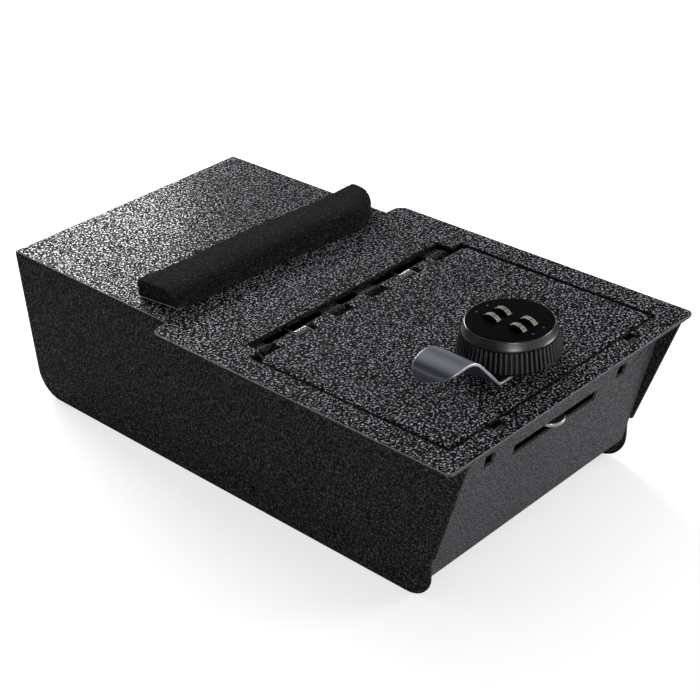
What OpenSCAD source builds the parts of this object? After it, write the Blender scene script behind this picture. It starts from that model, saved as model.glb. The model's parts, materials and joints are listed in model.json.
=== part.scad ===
/* [Body] */
// Depth of the safe, from the front edge of the faceplate to the back edge
body_d = 345; // [330:1:380]
// Width over the two side panels at the top
body_w = 175.6; // [172:0.2:184]
// Height from the feet of the side panels to the top face
body_h = 99; // [96:0.2:120]
// Thickness of the sheet steel
sheet_t = 1.9; // [1.6:0.1:2.1]
// How far the back wall lies inside the back edges of the side panels
back_inset = 2; // [1:0.5:6]
// Height of the lower edges of the front and back walls above the feet
skirt_z = 14.9; // [12:0.1:18]

/* [Faceplate] */
// Width of the wide front part of the top plate
face_w = 200; // [194:1:220]
// Depth of the wide front part of the top plate
face_d = 210; // [200:1:230]
// Corner radius at the back of the faceplate
face_rear_r = 6.5; // [2:0.5:10]
// Corner radius at the front of the faceplate
face_front_r = 4; // [2:0.5:8]
// Depth of the rim in front of the door
rim_d = 13.4; // [12:0.1:15]
// Width of each of the two notches in the rim
rim_notch_w = 8; // [5:0.5:10]
// Depth of the two notches in the rim
rim_notch_d = 6; // [3:0.5:7]
// Half the distance between the two notches, and the two square holes
notch_x = 54.6; // [50:0.2:60]
// How far the two notches sit to the right
notch_shift = 2; // [-2:0.1:3]

/* [Side panels] */
// Setback of a side panel's front edge at the step above the foot
toe_in = 24.4; // [18:0.1:26]
// Height of the step in a side panel's front edge
toe_z = 30.1; // [25:0.1:34]
// Depth and height of that step
toe_step = 3.4; // [1.6:0.1:5]
// How much further in each side panel stands at the feet than at the top
side_in = 4.4; // [0:0.1:8]
// Radius of the two lower corners of a side panel
foot_r = 16.5; // [8:0.5:18]
// Diameter of the screw holes in the side panels
side_hole_d = 4.2; // [3:0.1:6]
// Height of the screw holes above the feet
side_hole_z = 12.9; // [10:0.1:16]
// Distance of the front screw hole behind the front edge
side_hole_y = 94.2; // [80:0.2:100]
// Distance between the two screw holes of a side panel
side_hole_pitch = 61.8; // [40:0.2:80]

/* [Front wall] */
// Setback of the front wall at the top face
wall_top_in = 9.2; // [8.6:0.1:10]
// Setback of the front wall at its lower edge
wall_foot_in = 29.4; // [27:0.1:34]
// Length of the latch slot
slot_w = 69; // [60:1:76]
// Height of the latch slot
slot_h = 7; // [6:0.1:9]
// Side of the two square holes
square_hole = 8; // [6:0.5:9]
// Height of the square holes' centre over the centre of the latch slot
square_hole_up = 5.6; // [3:0.1:6.5]
// How far the wall's slot and holes sit to the right
punch_shift = 1; // [-2:0.1:3]
// Diameter of the two pin holes
pin_hole_d = 1.5; // [1:0.1:3]
// Half the distance between the two pin holes
pin_hole_x = 70; // [66:0.5:76]

/* [Floor] */
// Diameter of the mounting holes
mount_hole_d = 7; // [5:0.5:9]
// Distance between the mounting holes across the safe
mount_pitch_x = 110; // [80:1:130]
// Distance between the mounting holes along the safe
mount_pitch_y = 200; // [150:1:220]

/* [Door] */
// Width of the top plate's edge inside the side panels
side_land = 1.3; // [1:0.1:3]
// Gap round the door
door_gap = 1.3; // [1:0.1:1.8]
// Depth of the opening, from the rim to the plate behind the hinge
open_d = 146.6; // [140:0.2:150]
// Depth of the narrow back part of the opening
narrow_d = 11.5; // [10.5:0.1:12]
// Step between the wide and the narrow part of the opening
narrow_step = 8.2; // [6:0.1:9]
// Radius of the opening's corners
open_r = 1.3; // [1:0.1:2]
// Height of the folded edge of the door
flange_h = 10; // [8:0.5:11]
// Outer radius of the fold
fold_r = 2.3; // [2.2:0.1:3]
// Corner radius at the back of the door
door_rear_r = 5; // [2:0.5:7]
// Corner radius at the front of the door
door_front_r = 3; // [2.2:0.1:5]
// Thickness of the plate that stiffens the door at the lock
doubler_t = 3; // [2:0.5:4]
// Width of the stiffening plate
doubler_w = 90; // [70:1:120]
// Depth of the stiffening plate
doubler_d = 44; // [40:1:48]

/* [Ledges] */
// Width of the ledges under the sides of the door
ledge_w = 8; // [6:0.5:12]
// Height of the ledges' welded leg
ledge_h = 12; // [8:0.5:16]
// Thickness of the ledges
ledge_t = 1.5; // [1:0.1:2]
// Length of the ledges
ledge_l = 105; // [80:1:112]

/* [Hinge] */
// Depth of the hinge axis below the top face
hinge_drop = 7.6; // [7.3:0.1:8]
// Air between the open door and the plate behind it
stop_gap = 0.9; // [0.5:0.1:1.5]
// Diameter of the hinge rod
rod_d = 6; // [5:0.1:6.4]
// Radial play of the rod in the knuckles
rod_fit = 0.05; // [0.03:0.01:0.1]
// Outer diameter of the knuckles on the case
case_knuckle_d = 13; // [12:0.1:14]
// Thickness of the leaf that carries the case's knuckles, under the top plate
leaf_t = 1.6; // [1:0.1:2]
// Depth of the leaf
leaf_w = 8.3; // [8:0.1:12]
// How far the leaf stands out in front of the plate's edge
leaf_proud = 0.2; // [0:0.1:0.3]
// Width of a tab
tab_w = 14; // [12:0.5:15]
// Distance from tab to tab
tab_pitch = 28; // [27:0.5:28.5]
// Distance of the tabs' middle from the middle of the safe
tab_shift = -3.8; // [-5:0.1:0]
// Depth of the notches between the tabs
tab_d = 7.5; // [6.5:0.1:8]
// Side play between neighbouring knuckles
knuckle_gap = 0.4; // [0.2:0.1:0.8]
// Least width of the knuckles at the two ends of the rod
end_knuckle_w = 7; // [5:0.5:7.5]
// Thickness of the clips on the ends of the rod
clip_t = 1; // [0.6:0.1:1.5]
// Outer diameter of the clips
clip_d = 10; // [9:0.5:11]

/* [Springs] */
// Diameter of the spring wire
wire_d = 1.4; // [1.2:0.1:1.5]
// Distance from curl to curl
wire_pitch = 1.85; // [1.85:0.01:1.95]
// Number of curls of each spring
curl_n = 5; // [4:1:5]
// Length of the straight ends of a spring
leg_l = 15; // [12:0.5:20]
// Air between the straight ends and the plates over them
leg_gap = 0.3; // [0.2:0.05:0.5]

/* [Lock] */
// Distance of the lock's axis behind the front edge
lock_in = 45.5; // [44:0.5:52]
// Diameter of the threaded barrel
barrel_d = 19; // [17:0.5:20]
// Radius of the base under the knob
base_r = 21; // [18:0.5:22]
// Thickness of the base under the knob
base_t = 4.2; // [2:0.1:5]
// Air between the base and the knob
knob_gap = 0.4; // [0.3:0.1:1]
// Height of the knob's top over the door
knob_top = 22.5; // [20:0.5:24]
// Radius of the knob's top edge
knob_r = 23.3; // [22.5:0.1:24]
// Radius of the knob over the ribs, at the bottom
rib_r = 26.4; // [26:0.1:28]
// Height of the smooth collar above the ribs
collar_h = 5.5; // [4:0.1:8]
// Number of ribs round the knob
rib_n = 62; // [40:2:80]
// Depth of the grooves between the ribs
rib_depth = 1.2; // [0.6:0.1:1.6]
// Bevel round the top of the knob
knob_bevel = 0.6; // [0.3:0.1:1]
// Wall of the grip round the core
grip_wall = 2.2; // [1.6:0.1:2.8]
// Thickness of the cap that covers the wheels
cap_t = 1.8; // [1.2:0.1:2.4]
// Radius of a number wheel
wheel_r = 6.5; // [6:0.1:7.2]
// Width of a number wheel
wheel_w = 3.4; // [3:0.1:3.8]
// Half the distance between the wheels of a pair
wheel_x = 4.3; // [4.2:0.1:5]
// Half the distance between the two pairs
wheel_y = 8.3; // [8:0.1:9.2]
// How far the wheels stand out of the cap
wheel_proud = 2.2; // [1.5:0.1:3]
// Diameter of the wheels' axles
axle_d = 3; // [2:0.5:4]
// Play of a wheel in its pocket
wheel_gap = 0.3; // [0.2:0.05:0.5]
// Radial play of a wheel on its axle
axle_fit = 0.05; // [0.03:0.01:0.1]
// Diameter of the spindle
spindle_d = 10; // [8:0.5:11]
// Radial play of the spindle in the barrel
spindle_fit = 0.05; // [0.03:0.01:0.1]
// Side of the square on the end of the spindle
square_d = 7; // [5:0.5:7]
// Thickness of the lock's washer
washer_t = 1; // [0.8:0.1:1.5]
// Thickness of the lock's nut
nut_t = 5; // [4:0.5:6]
// Width across the flats of the lock's nut
nut_af = 27; // [25:0.5:30]
// Diameter of the lock's washer
washer_d = 29; // [27:0.5:36]
// Radius of the grooves that part the digits on a number wheel
groove_r = 0.3; // [0.2:0.05:0.4]
// Length of a pointer beyond a number wheel
pointer_l = 1.6; // [1:0.1:2]
// Width of a pointer
pointer_w = 0.5; // [0.3:0.1:0.8]
// Depth of a pointer
pointer_depth = 0.2; // [0.1:0.1:0.4]
// Air between a number wheel and its pointers
pointer_gap = 3.6; // [0.8:0.1:3.6]

/* [Latch] */
// Depth of the latch's middle below the top face
latch_drop = 26.6; // [26:0.1:28]
// Thickness of the latch
latch_t = 2.2; // [1.6:0.1:3]
// Width of the latch
latch_w = 16; // [12:0.5:20]
// Reach of the latch from the lock's axis
latch_reach = 33; // [32:0.1:34]
// Turn of the latch at rest, towards the right
latch_turn = 5; // [0:0.5:8]
// Radius of the latch's eye
latch_eye_r = 10; // [8.5:0.5:12]
// Width across the flats of the latch's screw head
screw_af = 10; // [8:0.5:12]
// Height of the latch's screw head
screw_h = 4; // [3:0.5:6]
// Diameter of the latch's screw
screw_d = 5; // [3:0.5:5.5]
// Length of the latch's screw
screw_l = 9; // [6:0.5:14]

/* [Handle] */
// Thickness of the handle's strip
handle_t = 1.5; // [1.2:0.1:1.8]
// Width of the strip
handle_w = 27; // [22:0.5:32]
// Reach of the strip past the lock's axis on the right
handle_tail = 14; // [12:0.5:18]
// Distance of the bend at the door from the lock's axis
handle_bend_x = 22.5; // [22:0.5:28]
// Distance of the lip from the lock's axis
handle_lip_x = 59.5; // [56:0.5:64]
// Height of the crest over the door
handle_crest = 22.9; // [20:0.1:26]
// Height of the lip's lower edge over the door
handle_lip_z = 10.5; // [9:0.5:13]
// Slope of the strip between the bend and the crest
handle_slope = 49; // [46:1:58]
// Radius of the bend at the door, at the strip's middle
handle_bend_r = 3.5; // [2:0.5:6]
// Radius of the rounded crest, at the strip's middle
handle_crest_r = 14; // [9:0.5:15]
// Drop of the strip from the crest to where it hangs straight
handle_lip_drop = 6.5; // [4:0.5:8]
// Radius of the lip's corner towards the hinge
lip_rear_r = 5; // [2:0.5:8]
// Width of what is cut off the lip's corner towards the front
lip_front_w = 20.5; // [4:0.5:22]
// Height of what is cut off there
lip_front_h = 12; // [6:0.5:12.5]

/* [Foam strip] */
// Length of the foam strip
foam_l = 166; // [140:1:170]
// Width of the foam strip
foam_w = 32; // [20:0.5:34]
// Height of the foam strip
foam_h = 10.5; // [8:0.5:16]
// Distance of its back edge behind the front edge of the faceplate
foam_y = 241; // [236:0.5:260]
// Distance of its middle from the middle of the safe
foam_x = 4.7; // [0:0.1:4.8]
// Skew of the strip
foam_turn = -2.4; // [-3:0.1:0]
// Thickness of its adhesive liner
liner_t = 0.5; // [0.3:0.1:0.8]
// Radius of its back edge
foam_back_r = 1.5; // [0.5:0.5:3]
// Width of its flat top
foam_flat = 14; // [6:0.5:16]
// Height of its front edge
foam_toe = 3; // [2:0.5:6]
// Length over which its front edge draws in towards the right end
foam_cut_l = 24; // [4:0.5:30]
// How far the front edge draws in at the right end
foam_cut_w = 16; // [0:0.5:18]
// How far the left end's front corner is cut back
foam_slant = 3; // [0:0.5:5]

/* [Hidden] */
$fn = 64;

// A hair's breadth that lets a cut run clear of a face
eps = 0.01;
// Play between a plain hole and what passes through it
hole_fit = 0.1;
// Air between parts that move past each other without touching
seat_gap = 0.3;

// The top face and the underside of the top plate
top_z = body_h;
under_z = body_h - sheet_t;
// The front and back edges
front_y = -body_d / 2;
back_y = body_d / 2;
// The inner faces of the side panels at the top, and how far the panels come in per unit of depth
inner_x = body_w / 2 - sheet_t;
side_slope = side_in / under_z;
side_lean = atan(side_slope);
// The floor's underside clears the screw holes below it
floor_z = max(skirt_z, side_hole_z + side_hole_d / 2 + 2 * seat_gap);

// The opening and the door in it
open_x = inner_x - side_land;
open_front_y = front_y + rim_d;
open_back_y = open_front_y + open_d;
narrow_x = open_x - narrow_step;
narrow_y = open_back_y - narrow_d;
door_x = open_x - door_gap;
door_front_y = open_front_y + door_gap;

// The door has as many tabs as fit between the knuckles at the two ends
tab_room = 2 * (narrow_x - door_gap - end_knuckle_w - knuckle_gap - abs(tab_shift));
tab_n = 1 + floor((tab_room - tab_w) / tab_pitch);
// Beside and between the tabs lie notches, of which two hold springs and the rest knuckles
spring_notches = [1, tab_n - 1];
knuckle_notches = [for (j = [0:tab_n]) if (j != spring_notches[0] && j != spring_notches[1]) j];

// The hinge: the open door stands clear of the plate behind it
hinge_y = open_back_y - hinge_drop - stop_gap;
hinge_z = top_z - hinge_drop;
tab_end_y = hinge_y - seat_gap;
door_back_y = tab_end_y - tab_d;
bore_r = rod_d / 2 + rod_fit;
door_knuckle_r = hinge_drop - sheet_t;
tab_x0 = tab_shift - ((tab_n - 1) * tab_pitch + tab_w) / 2;
notch_w = tab_pitch - tab_w;
knuckle_w = notch_w - 2 * knuckle_gap;
rod_end_x = narrow_x + 2;

// The front wall leans inwards
wall_lean = atan((wall_foot_in - wall_top_in) / (top_z - skirt_z));
wall_run = sheet_t / cos(wall_lean);
function wall_y(z) = front_y + wall_top_in + (top_z - z) * tan(wall_lean);

// The outer and inner faces of the back wall
back_wall_y = back_y - back_inset;
back_wall_in = back_wall_y - sheet_t;

// The latch and its slot
latch_z = top_z - latch_drop;
lock_y = front_y + lock_in;

// The lock's stack over the door
base_top = handle_t + base_t;
knob_bottom = base_top + knob_gap;
rib_top = knob_top - collar_h;
core_r = knob_r - grip_wall;
core_top = knob_top - cap_t;
axle_z = knob_top + wheel_proud - wheel_r;

// The springs
curl_r = hinge_drop - sheet_t - leg_gap - wire_d / 2;
spring_l = curl_n * wire_pitch;

// A box given by its two corners
module box(p, q) {
    translate(p) cube([q[0] - p[0], q[1] - p[1], q[2] - p[2]]);
}

// A flat rectangle given by its sides, with a corner radius at the back and at the front
module plate_outline(x0, x1, y0, y1, front_r, back_r) {
    translate([x0, y0 + front_r]) square([x1 - x0, y1 - back_r - y0 - front_r]);
    translate([x0 + front_r, y0]) square([x1 - x0 - 2 * front_r, 2 * front_r]);
    translate([x0 + back_r, y1 - 2 * back_r]) square([x1 - x0 - 2 * back_r, 2 * back_r]);
    for (x = [x0 + front_r, x1 - front_r]) translate([x, y0 + front_r]) circle(front_r);
    for (x = [x0 + back_r, x1 - back_r]) translate([x, y1 - back_r]) circle(back_r);
}

// A solid whose outline is drawn in depth and height, centred on the middle plane
module across(width) {
    rotate([90, 0, 90]) translate([0, 0, -width / 2]) linear_extrude(width) children();
}

// The points of an arc
function arc(cx, cy, r, from, to, steps = 10) =
    [for (i = [0:steps]) let (a = from + (to - from) * i / steps) [cx + r * cos(a), cy + r * sin(a)]];

// The left end of notch j, where notch 0 lies outside the first tab
function notch_left(j) = tab_x0 - notch_w + j * tab_pitch;
// The middle of the wire at the right end of the spring in notch j
function spring_right(j) = notch_left(j) + notch_w - knuckle_gap - wire_d / 2;

module opening_outline() {
    plate_outline(-open_x, open_x, open_front_y, narrow_y, open_r, open_r);
    plate_outline(-narrow_x, narrow_x, narrow_y - 3 * open_r, open_back_y, open_r, open_r);
    for (side = [-1, 1]) {
        translate([notch_shift + side * notch_x - rim_notch_w / 2, open_front_y - rim_notch_d])
            square([rim_notch_w, rim_notch_d + open_r]);
    }
}

module top_plate() {
    color("dimgray") translate([0, 0, under_z]) linear_extrude(sheet_t) difference() {
        union() {
            plate_outline(-face_w / 2, face_w / 2, front_y, front_y + face_d, face_front_r, face_rear_r);
            translate([-body_w / 2, front_y + face_front_r]) square([body_w, body_d - face_front_r]);
        }
        opening_outline();
    }
}

module panel_outline() {
    toe_y = front_y + toe_in;
    foot_y = toe_y + toe_step;
    polygon(concat(
        [[front_y, under_z], [toe_y, toe_z]],
        arc(toe_y, toe_z - toe_step, toe_step, 90, 0, 6),
        arc(foot_y + foot_r, foot_r, foot_r, 180, 270),
        arc(back_y - foot_r, foot_r, foot_r, 270, 360),
        [[back_y, under_z]]));
}

// Where a line that stands at x under the plate is at height z, when it comes in as the right panel does
function lean_x(x, z) = x - side_slope * (under_z - z);

// Keeps of what stands on the right a slab of one thickness that leans as the right panel does
module leaning(x, thick) {
    low = -1;
    high = top_z;
    intersection() {
        children();
        rotate([90, 0, 0]) linear_extrude(2 * body_d, center = true) polygon([
            [lean_x(x, high), high], [lean_x(x + thick, high), high],
            [lean_x(x + thick, low), low], [lean_x(x, low), low]]);
    }
}

module side_panel(side) {
    x = inner_x + sheet_t / 2;
    color("#1c1d1e") mirror([side < 0 ? 1 : 0, 0, 0]) difference() {
        leaning(inner_x, sheet_t) across(body_w + 2) panel_outline();
        for (i = [0, 1]) {
            translate([lean_x(x, side_hole_z), front_y + side_hole_y + i * side_hole_pitch, side_hole_z])
                rotate([0, 90 + side_lean, 0])
                    cylinder(d = side_hole_d, h = 2 * sheet_t, center = true);
        }
    }
}

// Keeps of a cross-wise sheet what lies between the two side panels
module between_panels() {
    intersection() {
        across(body_w) children();
        rotate([90, 0, 0]) linear_extrude(2 * body_d, center = true) polygon([
            [-inner_x - side_slope, under_z + 1], [inner_x + side_slope, under_z + 1],
            [inner_x - side_in, 0], [-inner_x + side_in, 0]]);
    }
}

module left_panel() {
    side_panel(-1);
}

module right_panel() {
    side_panel(1);
}

// Puts a cutter on the front wall: x across, and up from the middle of the latch slot
module on_front_wall(x, up) {
    translate([x, wall_y(latch_z + up) + wall_run / 2, latch_z + up])
        rotate([wall_lean, 0, 0]) children();
}

module front_wall() {
    color("#4b4c4e") difference() {
        between_panels() polygon([
            [wall_y(skirt_z), skirt_z], [wall_y(skirt_z) + wall_run, skirt_z],
            [wall_y(under_z) + wall_run, under_z], [wall_y(under_z), under_z]]);
        on_front_wall(punch_shift, 0) cube([slot_w, 4 * sheet_t, slot_h], center = true);
        for (side = [-1, 1]) {
            on_front_wall(punch_shift + side * notch_x, square_hole_up)
                cube([square_hole, 4 * sheet_t, square_hole], center = true);
            on_front_wall(punch_shift + side * pin_hole_x, square_hole_up + square_hole / 2)
                rotate([90, 0, 0]) cylinder(d = pin_hole_d, h = 4 * sheet_t, center = true, $fn = 24);
        }
    }
}

module floor_plate() {
    floor_top = floor_z + sheet_t;
    color("#1c1d1e") difference() {
        between_panels() polygon([
            [wall_y(floor_z) + wall_run, floor_z], [back_wall_in, floor_z],
            [back_wall_in, floor_top], [wall_y(floor_top) + wall_run, floor_top]]);
        for (x = [-1, 1], y = [-1, 1]) {
            translate([x * mount_pitch_x / 2, y * mount_pitch_y / 2, floor_z - sheet_t])
                cylinder(d = mount_hole_d, h = 3 * sheet_t);
        }
    }
}

module back_wall() {
    color("#1c1d1e") between_panels() polygon([
        [back_wall_in, skirt_z], [back_wall_y, skirt_z], [back_wall_y, under_z], [back_wall_in, under_z]]);
}

// An angle welded to a side panel, under the folded edge of the door
module ledge(side) {
    ledge_top = top_z - flange_h - seat_gap;
    y0 = wall_y(ledge_top - ledge_h) + wall_run + seat_gap;
    color("#1c1d1e") mirror([side < 0 ? 1 : 0, 0, 0]) {
        leaning(inner_x - ledge_w, ledge_w)
            box([0, y0, ledge_top - ledge_t], [inner_x, y0 + ledge_l, ledge_top]);
        leaning(inner_x - ledge_t, ledge_t)
            box([0, y0, ledge_top - ledge_h], [inner_x, y0 + ledge_l, ledge_top - ledge_t]);
    }
}

module left_ledge() {
    ledge(-1);
}

module right_ledge() {
    ledge(1);
}

// A cylinder along the hinge axis, from x0 to x1
module on_axis(x0, x1, r) {
    translate([x0, hinge_y, hinge_z]) rotate([0, 90, 0]) cylinder(r = r, h = x1 - x0);
}

module case_knuckle(x0, x1) {
    web_h = door_knuckle_r - rod_d / 2;
    difference() {
        union() {
            on_axis(x0, x1, case_knuckle_d / 2);
            box([x0, hinge_y, under_z - web_h], [x1, open_back_y + case_knuckle_d / 2, under_z]);
        }
        on_axis(x0 - eps, x1 + eps, bore_r);
    }
}

// The knuckles and their leaf, which has a slot over the back end of each spring
module case_knuckles() {
    color("#1c1d1e") {
        for (j = knuckle_notches) {
            x0 = max(notch_left(j) + knuckle_gap, -narrow_x + door_gap);
            x1 = min(notch_left(j) + knuckle_gap + knuckle_w, narrow_x - door_gap);
            case_knuckle(x0, x1);
        }
        difference() {
            box([-narrow_x + door_gap, open_back_y - leaf_proud, under_z - leaf_t],
                [narrow_x - door_gap, open_back_y + leaf_w, under_z]);
            for (j = spring_notches) {
                x = spring_right(j) - spring_l;
                half = wire_d / 2 + seat_gap;
                box([x - half, hinge_y, under_z - leaf_t - eps],
                    [x + half, hinge_y + leg_l + seat_gap, under_z + eps]);
            }
        }
    }
}

module hinge_rod() {
    color("silver") on_axis(-rod_end_x, rod_end_x, rod_d / 2);
}

module rod_clips() {
    left_x = -narrow_x + door_gap - knuckle_gap;
    right_x = notch_left(tab_n) + knuckle_gap + knuckle_w + knuckle_gap;
    color("silver") for (x = [left_x - clip_t, right_x]) difference() {
        on_axis(x, x + clip_t, clip_d / 2);
        on_axis(x - eps, x + clip_t + eps, bore_r);
    }
}

// A tube of wire along points, closed at both ends; its rings stand square to the path
function unit(v) = v / norm(v);
function tangent(p, i) = unit(p[min(i + 1, len(p) - 1)] - p[max(i - 1, 0)]);
function ring(p, i, r, sides) =
    let (t = tangent(p, i), u = unit(cross(t, [1, 0, 0])), v = cross(t, u))
    [for (k = [0:sides - 1]) p[i] + r * (cos(360 * k / sides) * u + sin(360 * k / sides) * v)];
module wire_tube(p, d, sides = 6) {
    n = len(p);
    points = [for (i = [0:n - 1]) each ring(p, i, d / 2, sides)];
    faces = concat(
        [for (i = [0:n - 2], k = [0:sides - 1]) let (m = (k + 1) % sides)
            [i * sides + k, (i + 1) * sides + m, i * sides + m]],
        [for (i = [0:n - 2], k = [0:sides - 1]) let (m = (k + 1) % sides)
            [i * sides + k, (i + 1) * sides + k, (i + 1) * sides + m]],
        [for (k = [1:sides - 2]) [0, k, k + 1]],
        [for (k = [1:sides - 2]) [(n - 1) * sides, (n - 1) * sides + k + 1, (n - 1) * sides + k]]);
    polyhedron(points, faces);
}

// The wire of a spring: a straight end under the door, the curls, a straight end under the plate
rings_per_curl = 8;
curl_steps = curl_n * rings_per_curl;
function spring_path(x1) = concat(
    [[x1, hinge_y - leg_l, hinge_z + curl_r], [x1, hinge_y - leg_l + wire_d, hinge_z + curl_r]],
    [for (i = [0:curl_steps]) let (a = 90 - 360 * i / rings_per_curl)
        [x1 - spring_l * i / curl_steps, hinge_y + curl_r * cos(a), hinge_z + curl_r * sin(a)]],
    [[x1 - spring_l, hinge_y + leg_l - wire_d, hinge_z + curl_r],
        [x1 - spring_l, hinge_y + leg_l, hinge_z + curl_r]]);

// The least gap between curls that lie a full turn apart, and between a straight end and a curl
function wire_gap(p) = min(
    [for (i = [2:curl_steps + 2 - rings_per_curl / 2], j = [i + rings_per_curl / 2:curl_steps + 2])
        norm(p[i] - p[j]) - wire_d]);
echo("least gap of the spring wire to itself, mm", wire_gap(spring_path(0)));

// A spring lies against the right end of its notch
module spring(j) {
    color("gainsboro") wire_tube(spring_path(spring_right(j)), wire_d);
}

module left_spring() {
    spring(spring_notches[0]);
}

module right_spring() {
    spring(spring_notches[1]);
}

module on_foam() {
    translate([foam_x, front_y + foam_y, top_z]) rotate(foam_turn) children();
}

// The strip's width at a distance from its right end, where its front corner is cut round
function foam_width(s) =
    foam_w - (s < foam_cut_l ? foam_cut_w * pow(1 - s / foam_cut_l, 1.5) : 0);
// Distances from the right end at which the outline has a point
foam_places = concat([for (i = [0:8]) foam_cut_l * i / 8], [foam_l]);
// Where a point of the outline stands along the strip; the left end is cut at a slant
function foam_end(s, y) = foam_l / 2 - s + (s == foam_l ? -foam_slant * y / foam_w : 0);

module foam_liner() {
    color("gainsboro") on_foam() linear_extrude(liner_t) polygon(concat(
        [[-foam_l / 2, 0], [foam_l / 2, 0]],
        [for (s = foam_places) [foam_end(s, -foam_width(s)), -foam_width(s)]]));
}

// The foam's cross-section at a given width, from its back foot over the crown to its front foot
function foam_section(w) = concat(
    [[0, 0]],
    arc(-foam_back_r, foam_h - foam_back_r, foam_back_r, 0, 90, 4),
    [for (a = [0:90 / 8:90])
        [-w * foam_flat / foam_w - w * (1 - foam_flat / foam_w) * sin(a),
            foam_toe + (foam_h - foam_toe) * cos(a)]],
    [[-w, 0]]);
module foam_strip() {
    m = len(foam_section(foam_w));
    n = len(foam_places);
    points = [for (s = foam_places) each
        [for (c = foam_section(foam_width(s))) [foam_end(s, c[0]), c[0], c[1]]]];
    color("#26272a") on_foam() translate([0, 0, liner_t]) polyhedron(points, concat(
        [for (i = [0:n - 2], k = [0:m - 1]) let (l = (k + 1) % m)
            [i * m + k, i * m + l, (i + 1) * m + l]],
        [for (i = [0:n - 2], k = [0:m - 1]) let (l = (k + 1) % m)
            [i * m + k, (i + 1) * m + l, (i + 1) * m + k]],
        [for (k = [1:m - 2]) [0, k + 1, k]],
        [for (k = [1:m - 2]) [(n - 1) * m, (n - 1) * m + k, (n - 1) * m + k + 1]]));
}

module door_outline() {
    plate_outline(-door_x, door_x, door_front_y, door_back_y, door_front_r, door_rear_r);
    for (i = [0:tab_n - 1]) {
        translate([tab_x0 + i * tab_pitch, door_back_y - door_rear_r])
            square([tab_w, tab_end_y - door_back_y + door_rear_r]);
    }
}

// The folded edges: round over the sides and the front
module rolled_profile(half) {
    low = top_z - flange_h;
    translate([-half, low - eps]) square([2 * half, flange_h - fold_r + eps]);
    translate([-half + fold_r, low]) square([2 * (half - fold_r), flange_h]);
    for (x = [-half + fold_r, half - fold_r]) translate([x, top_z - fold_r]) circle(fold_r);
}

module door_panel() {
    low = top_z - flange_h;
    back = tab_end_y + sheet_t;
    flange_end_y = door_back_y - flange_h;
    color("dimgray") difference() {
        intersection() {
            translate([0, 0, low]) linear_extrude(flange_h) door_outline();
            rotate([90, 0, 0]) linear_extrude(2 * body_d, center = true) rolled_profile(door_x);
            across(body_w) front_roll();
        }
        box([-door_x + sheet_t, door_front_y + sheet_t, low - eps], [door_x - sheet_t, back, under_z]);
        box([-door_x - eps, flange_end_y, low - eps], [door_x + eps, back, under_z]);
        translate([0, lock_y, under_z - eps]) cylinder(d = barrel_d + 2 * hole_fit, h = 2 * sheet_t);
    }
}

// The fold over the door's front edge, in depth and height
module front_roll() {
    low = top_z - flange_h;
    translate([door_front_y, low - eps]) square([body_d, flange_h - fold_r + eps]);
    translate([door_front_y + fold_r, low]) square([body_d, flange_h]);
    translate([door_front_y + fold_r, top_z - fold_r]) circle(fold_r);
}

module door_knuckle(x0, x1) {
    difference() {
        union() {
            on_axis(x0, x1, door_knuckle_r);
            box([x0, door_back_y + seat_gap, hinge_z], [x1, tab_end_y, under_z]);
        }
        on_axis(x0 - eps, x1 + eps, bore_r);
    }
}

module door_knuckles() {
    color("#1c1d1e") for (i = [0:tab_n - 1]) {
        x0 = tab_x0 + i * tab_pitch;
        door_knuckle(x0, x0 + tab_w);
    }
}

module door_doubler() {
    color("#1c1d1e") difference() {
        box([-doubler_w / 2, lock_y - doubler_d / 2, under_z - doubler_t],
            [doubler_w / 2, lock_y + doubler_d / 2, under_z]);
        translate([0, lock_y, under_z - 2 * doubler_t])
            cylinder(d = barrel_d + 2 * hole_fit, h = 3 * doubler_t);
    }
}

// The middle line of the handle's strip, in width and height over the door
handle_mid = handle_t / 2;
bend_x = -handle_bend_x;
bend_z = handle_mid + handle_bend_r;
crest_z = handle_crest - handle_mid - handle_crest_r;
lip_x = -handle_lip_x + handle_mid;
slope_rise = crest_z - bend_z + (handle_crest_r + handle_bend_r) * cos(handle_slope);
slope_x = bend_x - handle_bend_r * sin(handle_slope) - slope_rise / tan(handle_slope);
crest_x = slope_x - handle_crest_r * sin(handle_slope);
function handle_line() = concat(
    [[handle_tail, handle_mid]],
    arc(bend_x, bend_z, handle_bend_r, 270, 270 - handle_slope, 8),
    arc(crest_x, crest_z, handle_crest_r, 90 - handle_slope, 90, 8),
    // From the crest to the hanging lip the strip follows a quarter of an ellipse
    [for (i = [1:10]) let (a = 90 * i / 10) [
        crest_x - (crest_x - lip_x) * sin(a),
        crest_z + handle_crest_r - handle_lip_drop * (1 - cos(a))]],
    [[lip_x, handle_lip_z]]);
// The outline of a strip of even thickness along a line
function beside(p, i, d) = let (t = tangent(p, i)) [p[i][0] - d * t[1], p[i][1] + d * t[0]];
function strip_outline(p, t) = concat(
    [for (i = [0:len(p) - 1]) beside(p, i, t / 2)],
    [for (i = [len(p) - 1:-1:0]) beside(p, i, -t / 2)]);

// What rounds the lip's corner towards the hinge takes away
module lip_rear_corner() {
    r = lip_rear_r;
    translate([-handle_lip_x - handle_t, handle_w / 2 - r, handle_lip_z + r])
        rotate([0, 90, 0]) difference() {
            translate([-eps, -eps, 0]) cube([2 * r, 2 * r + eps, 8 * handle_t]);
            translate([0, 0, -eps]) cylinder(r = r, h = 9 * handle_t);
        }
}

// What is cut off the lip towards the front, so that the tab tapers in a long curve
module lip_front_cut() {
    steps = 12;
    w = min(lip_front_w, handle_w - lip_rear_r);
    translate([-handle_lip_x - handle_t, -handle_w / 2, handle_lip_z])
        rotate([90, 0, 90]) linear_extrude(8 * handle_t) polygon(concat(
            [[-1, lip_front_h], [-1, -1], [w, -1]],
            [for (i = [0:steps]) let (s = i / steps) [w * pow(1 - s, 1.6), lip_front_h * s]]));
}

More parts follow.
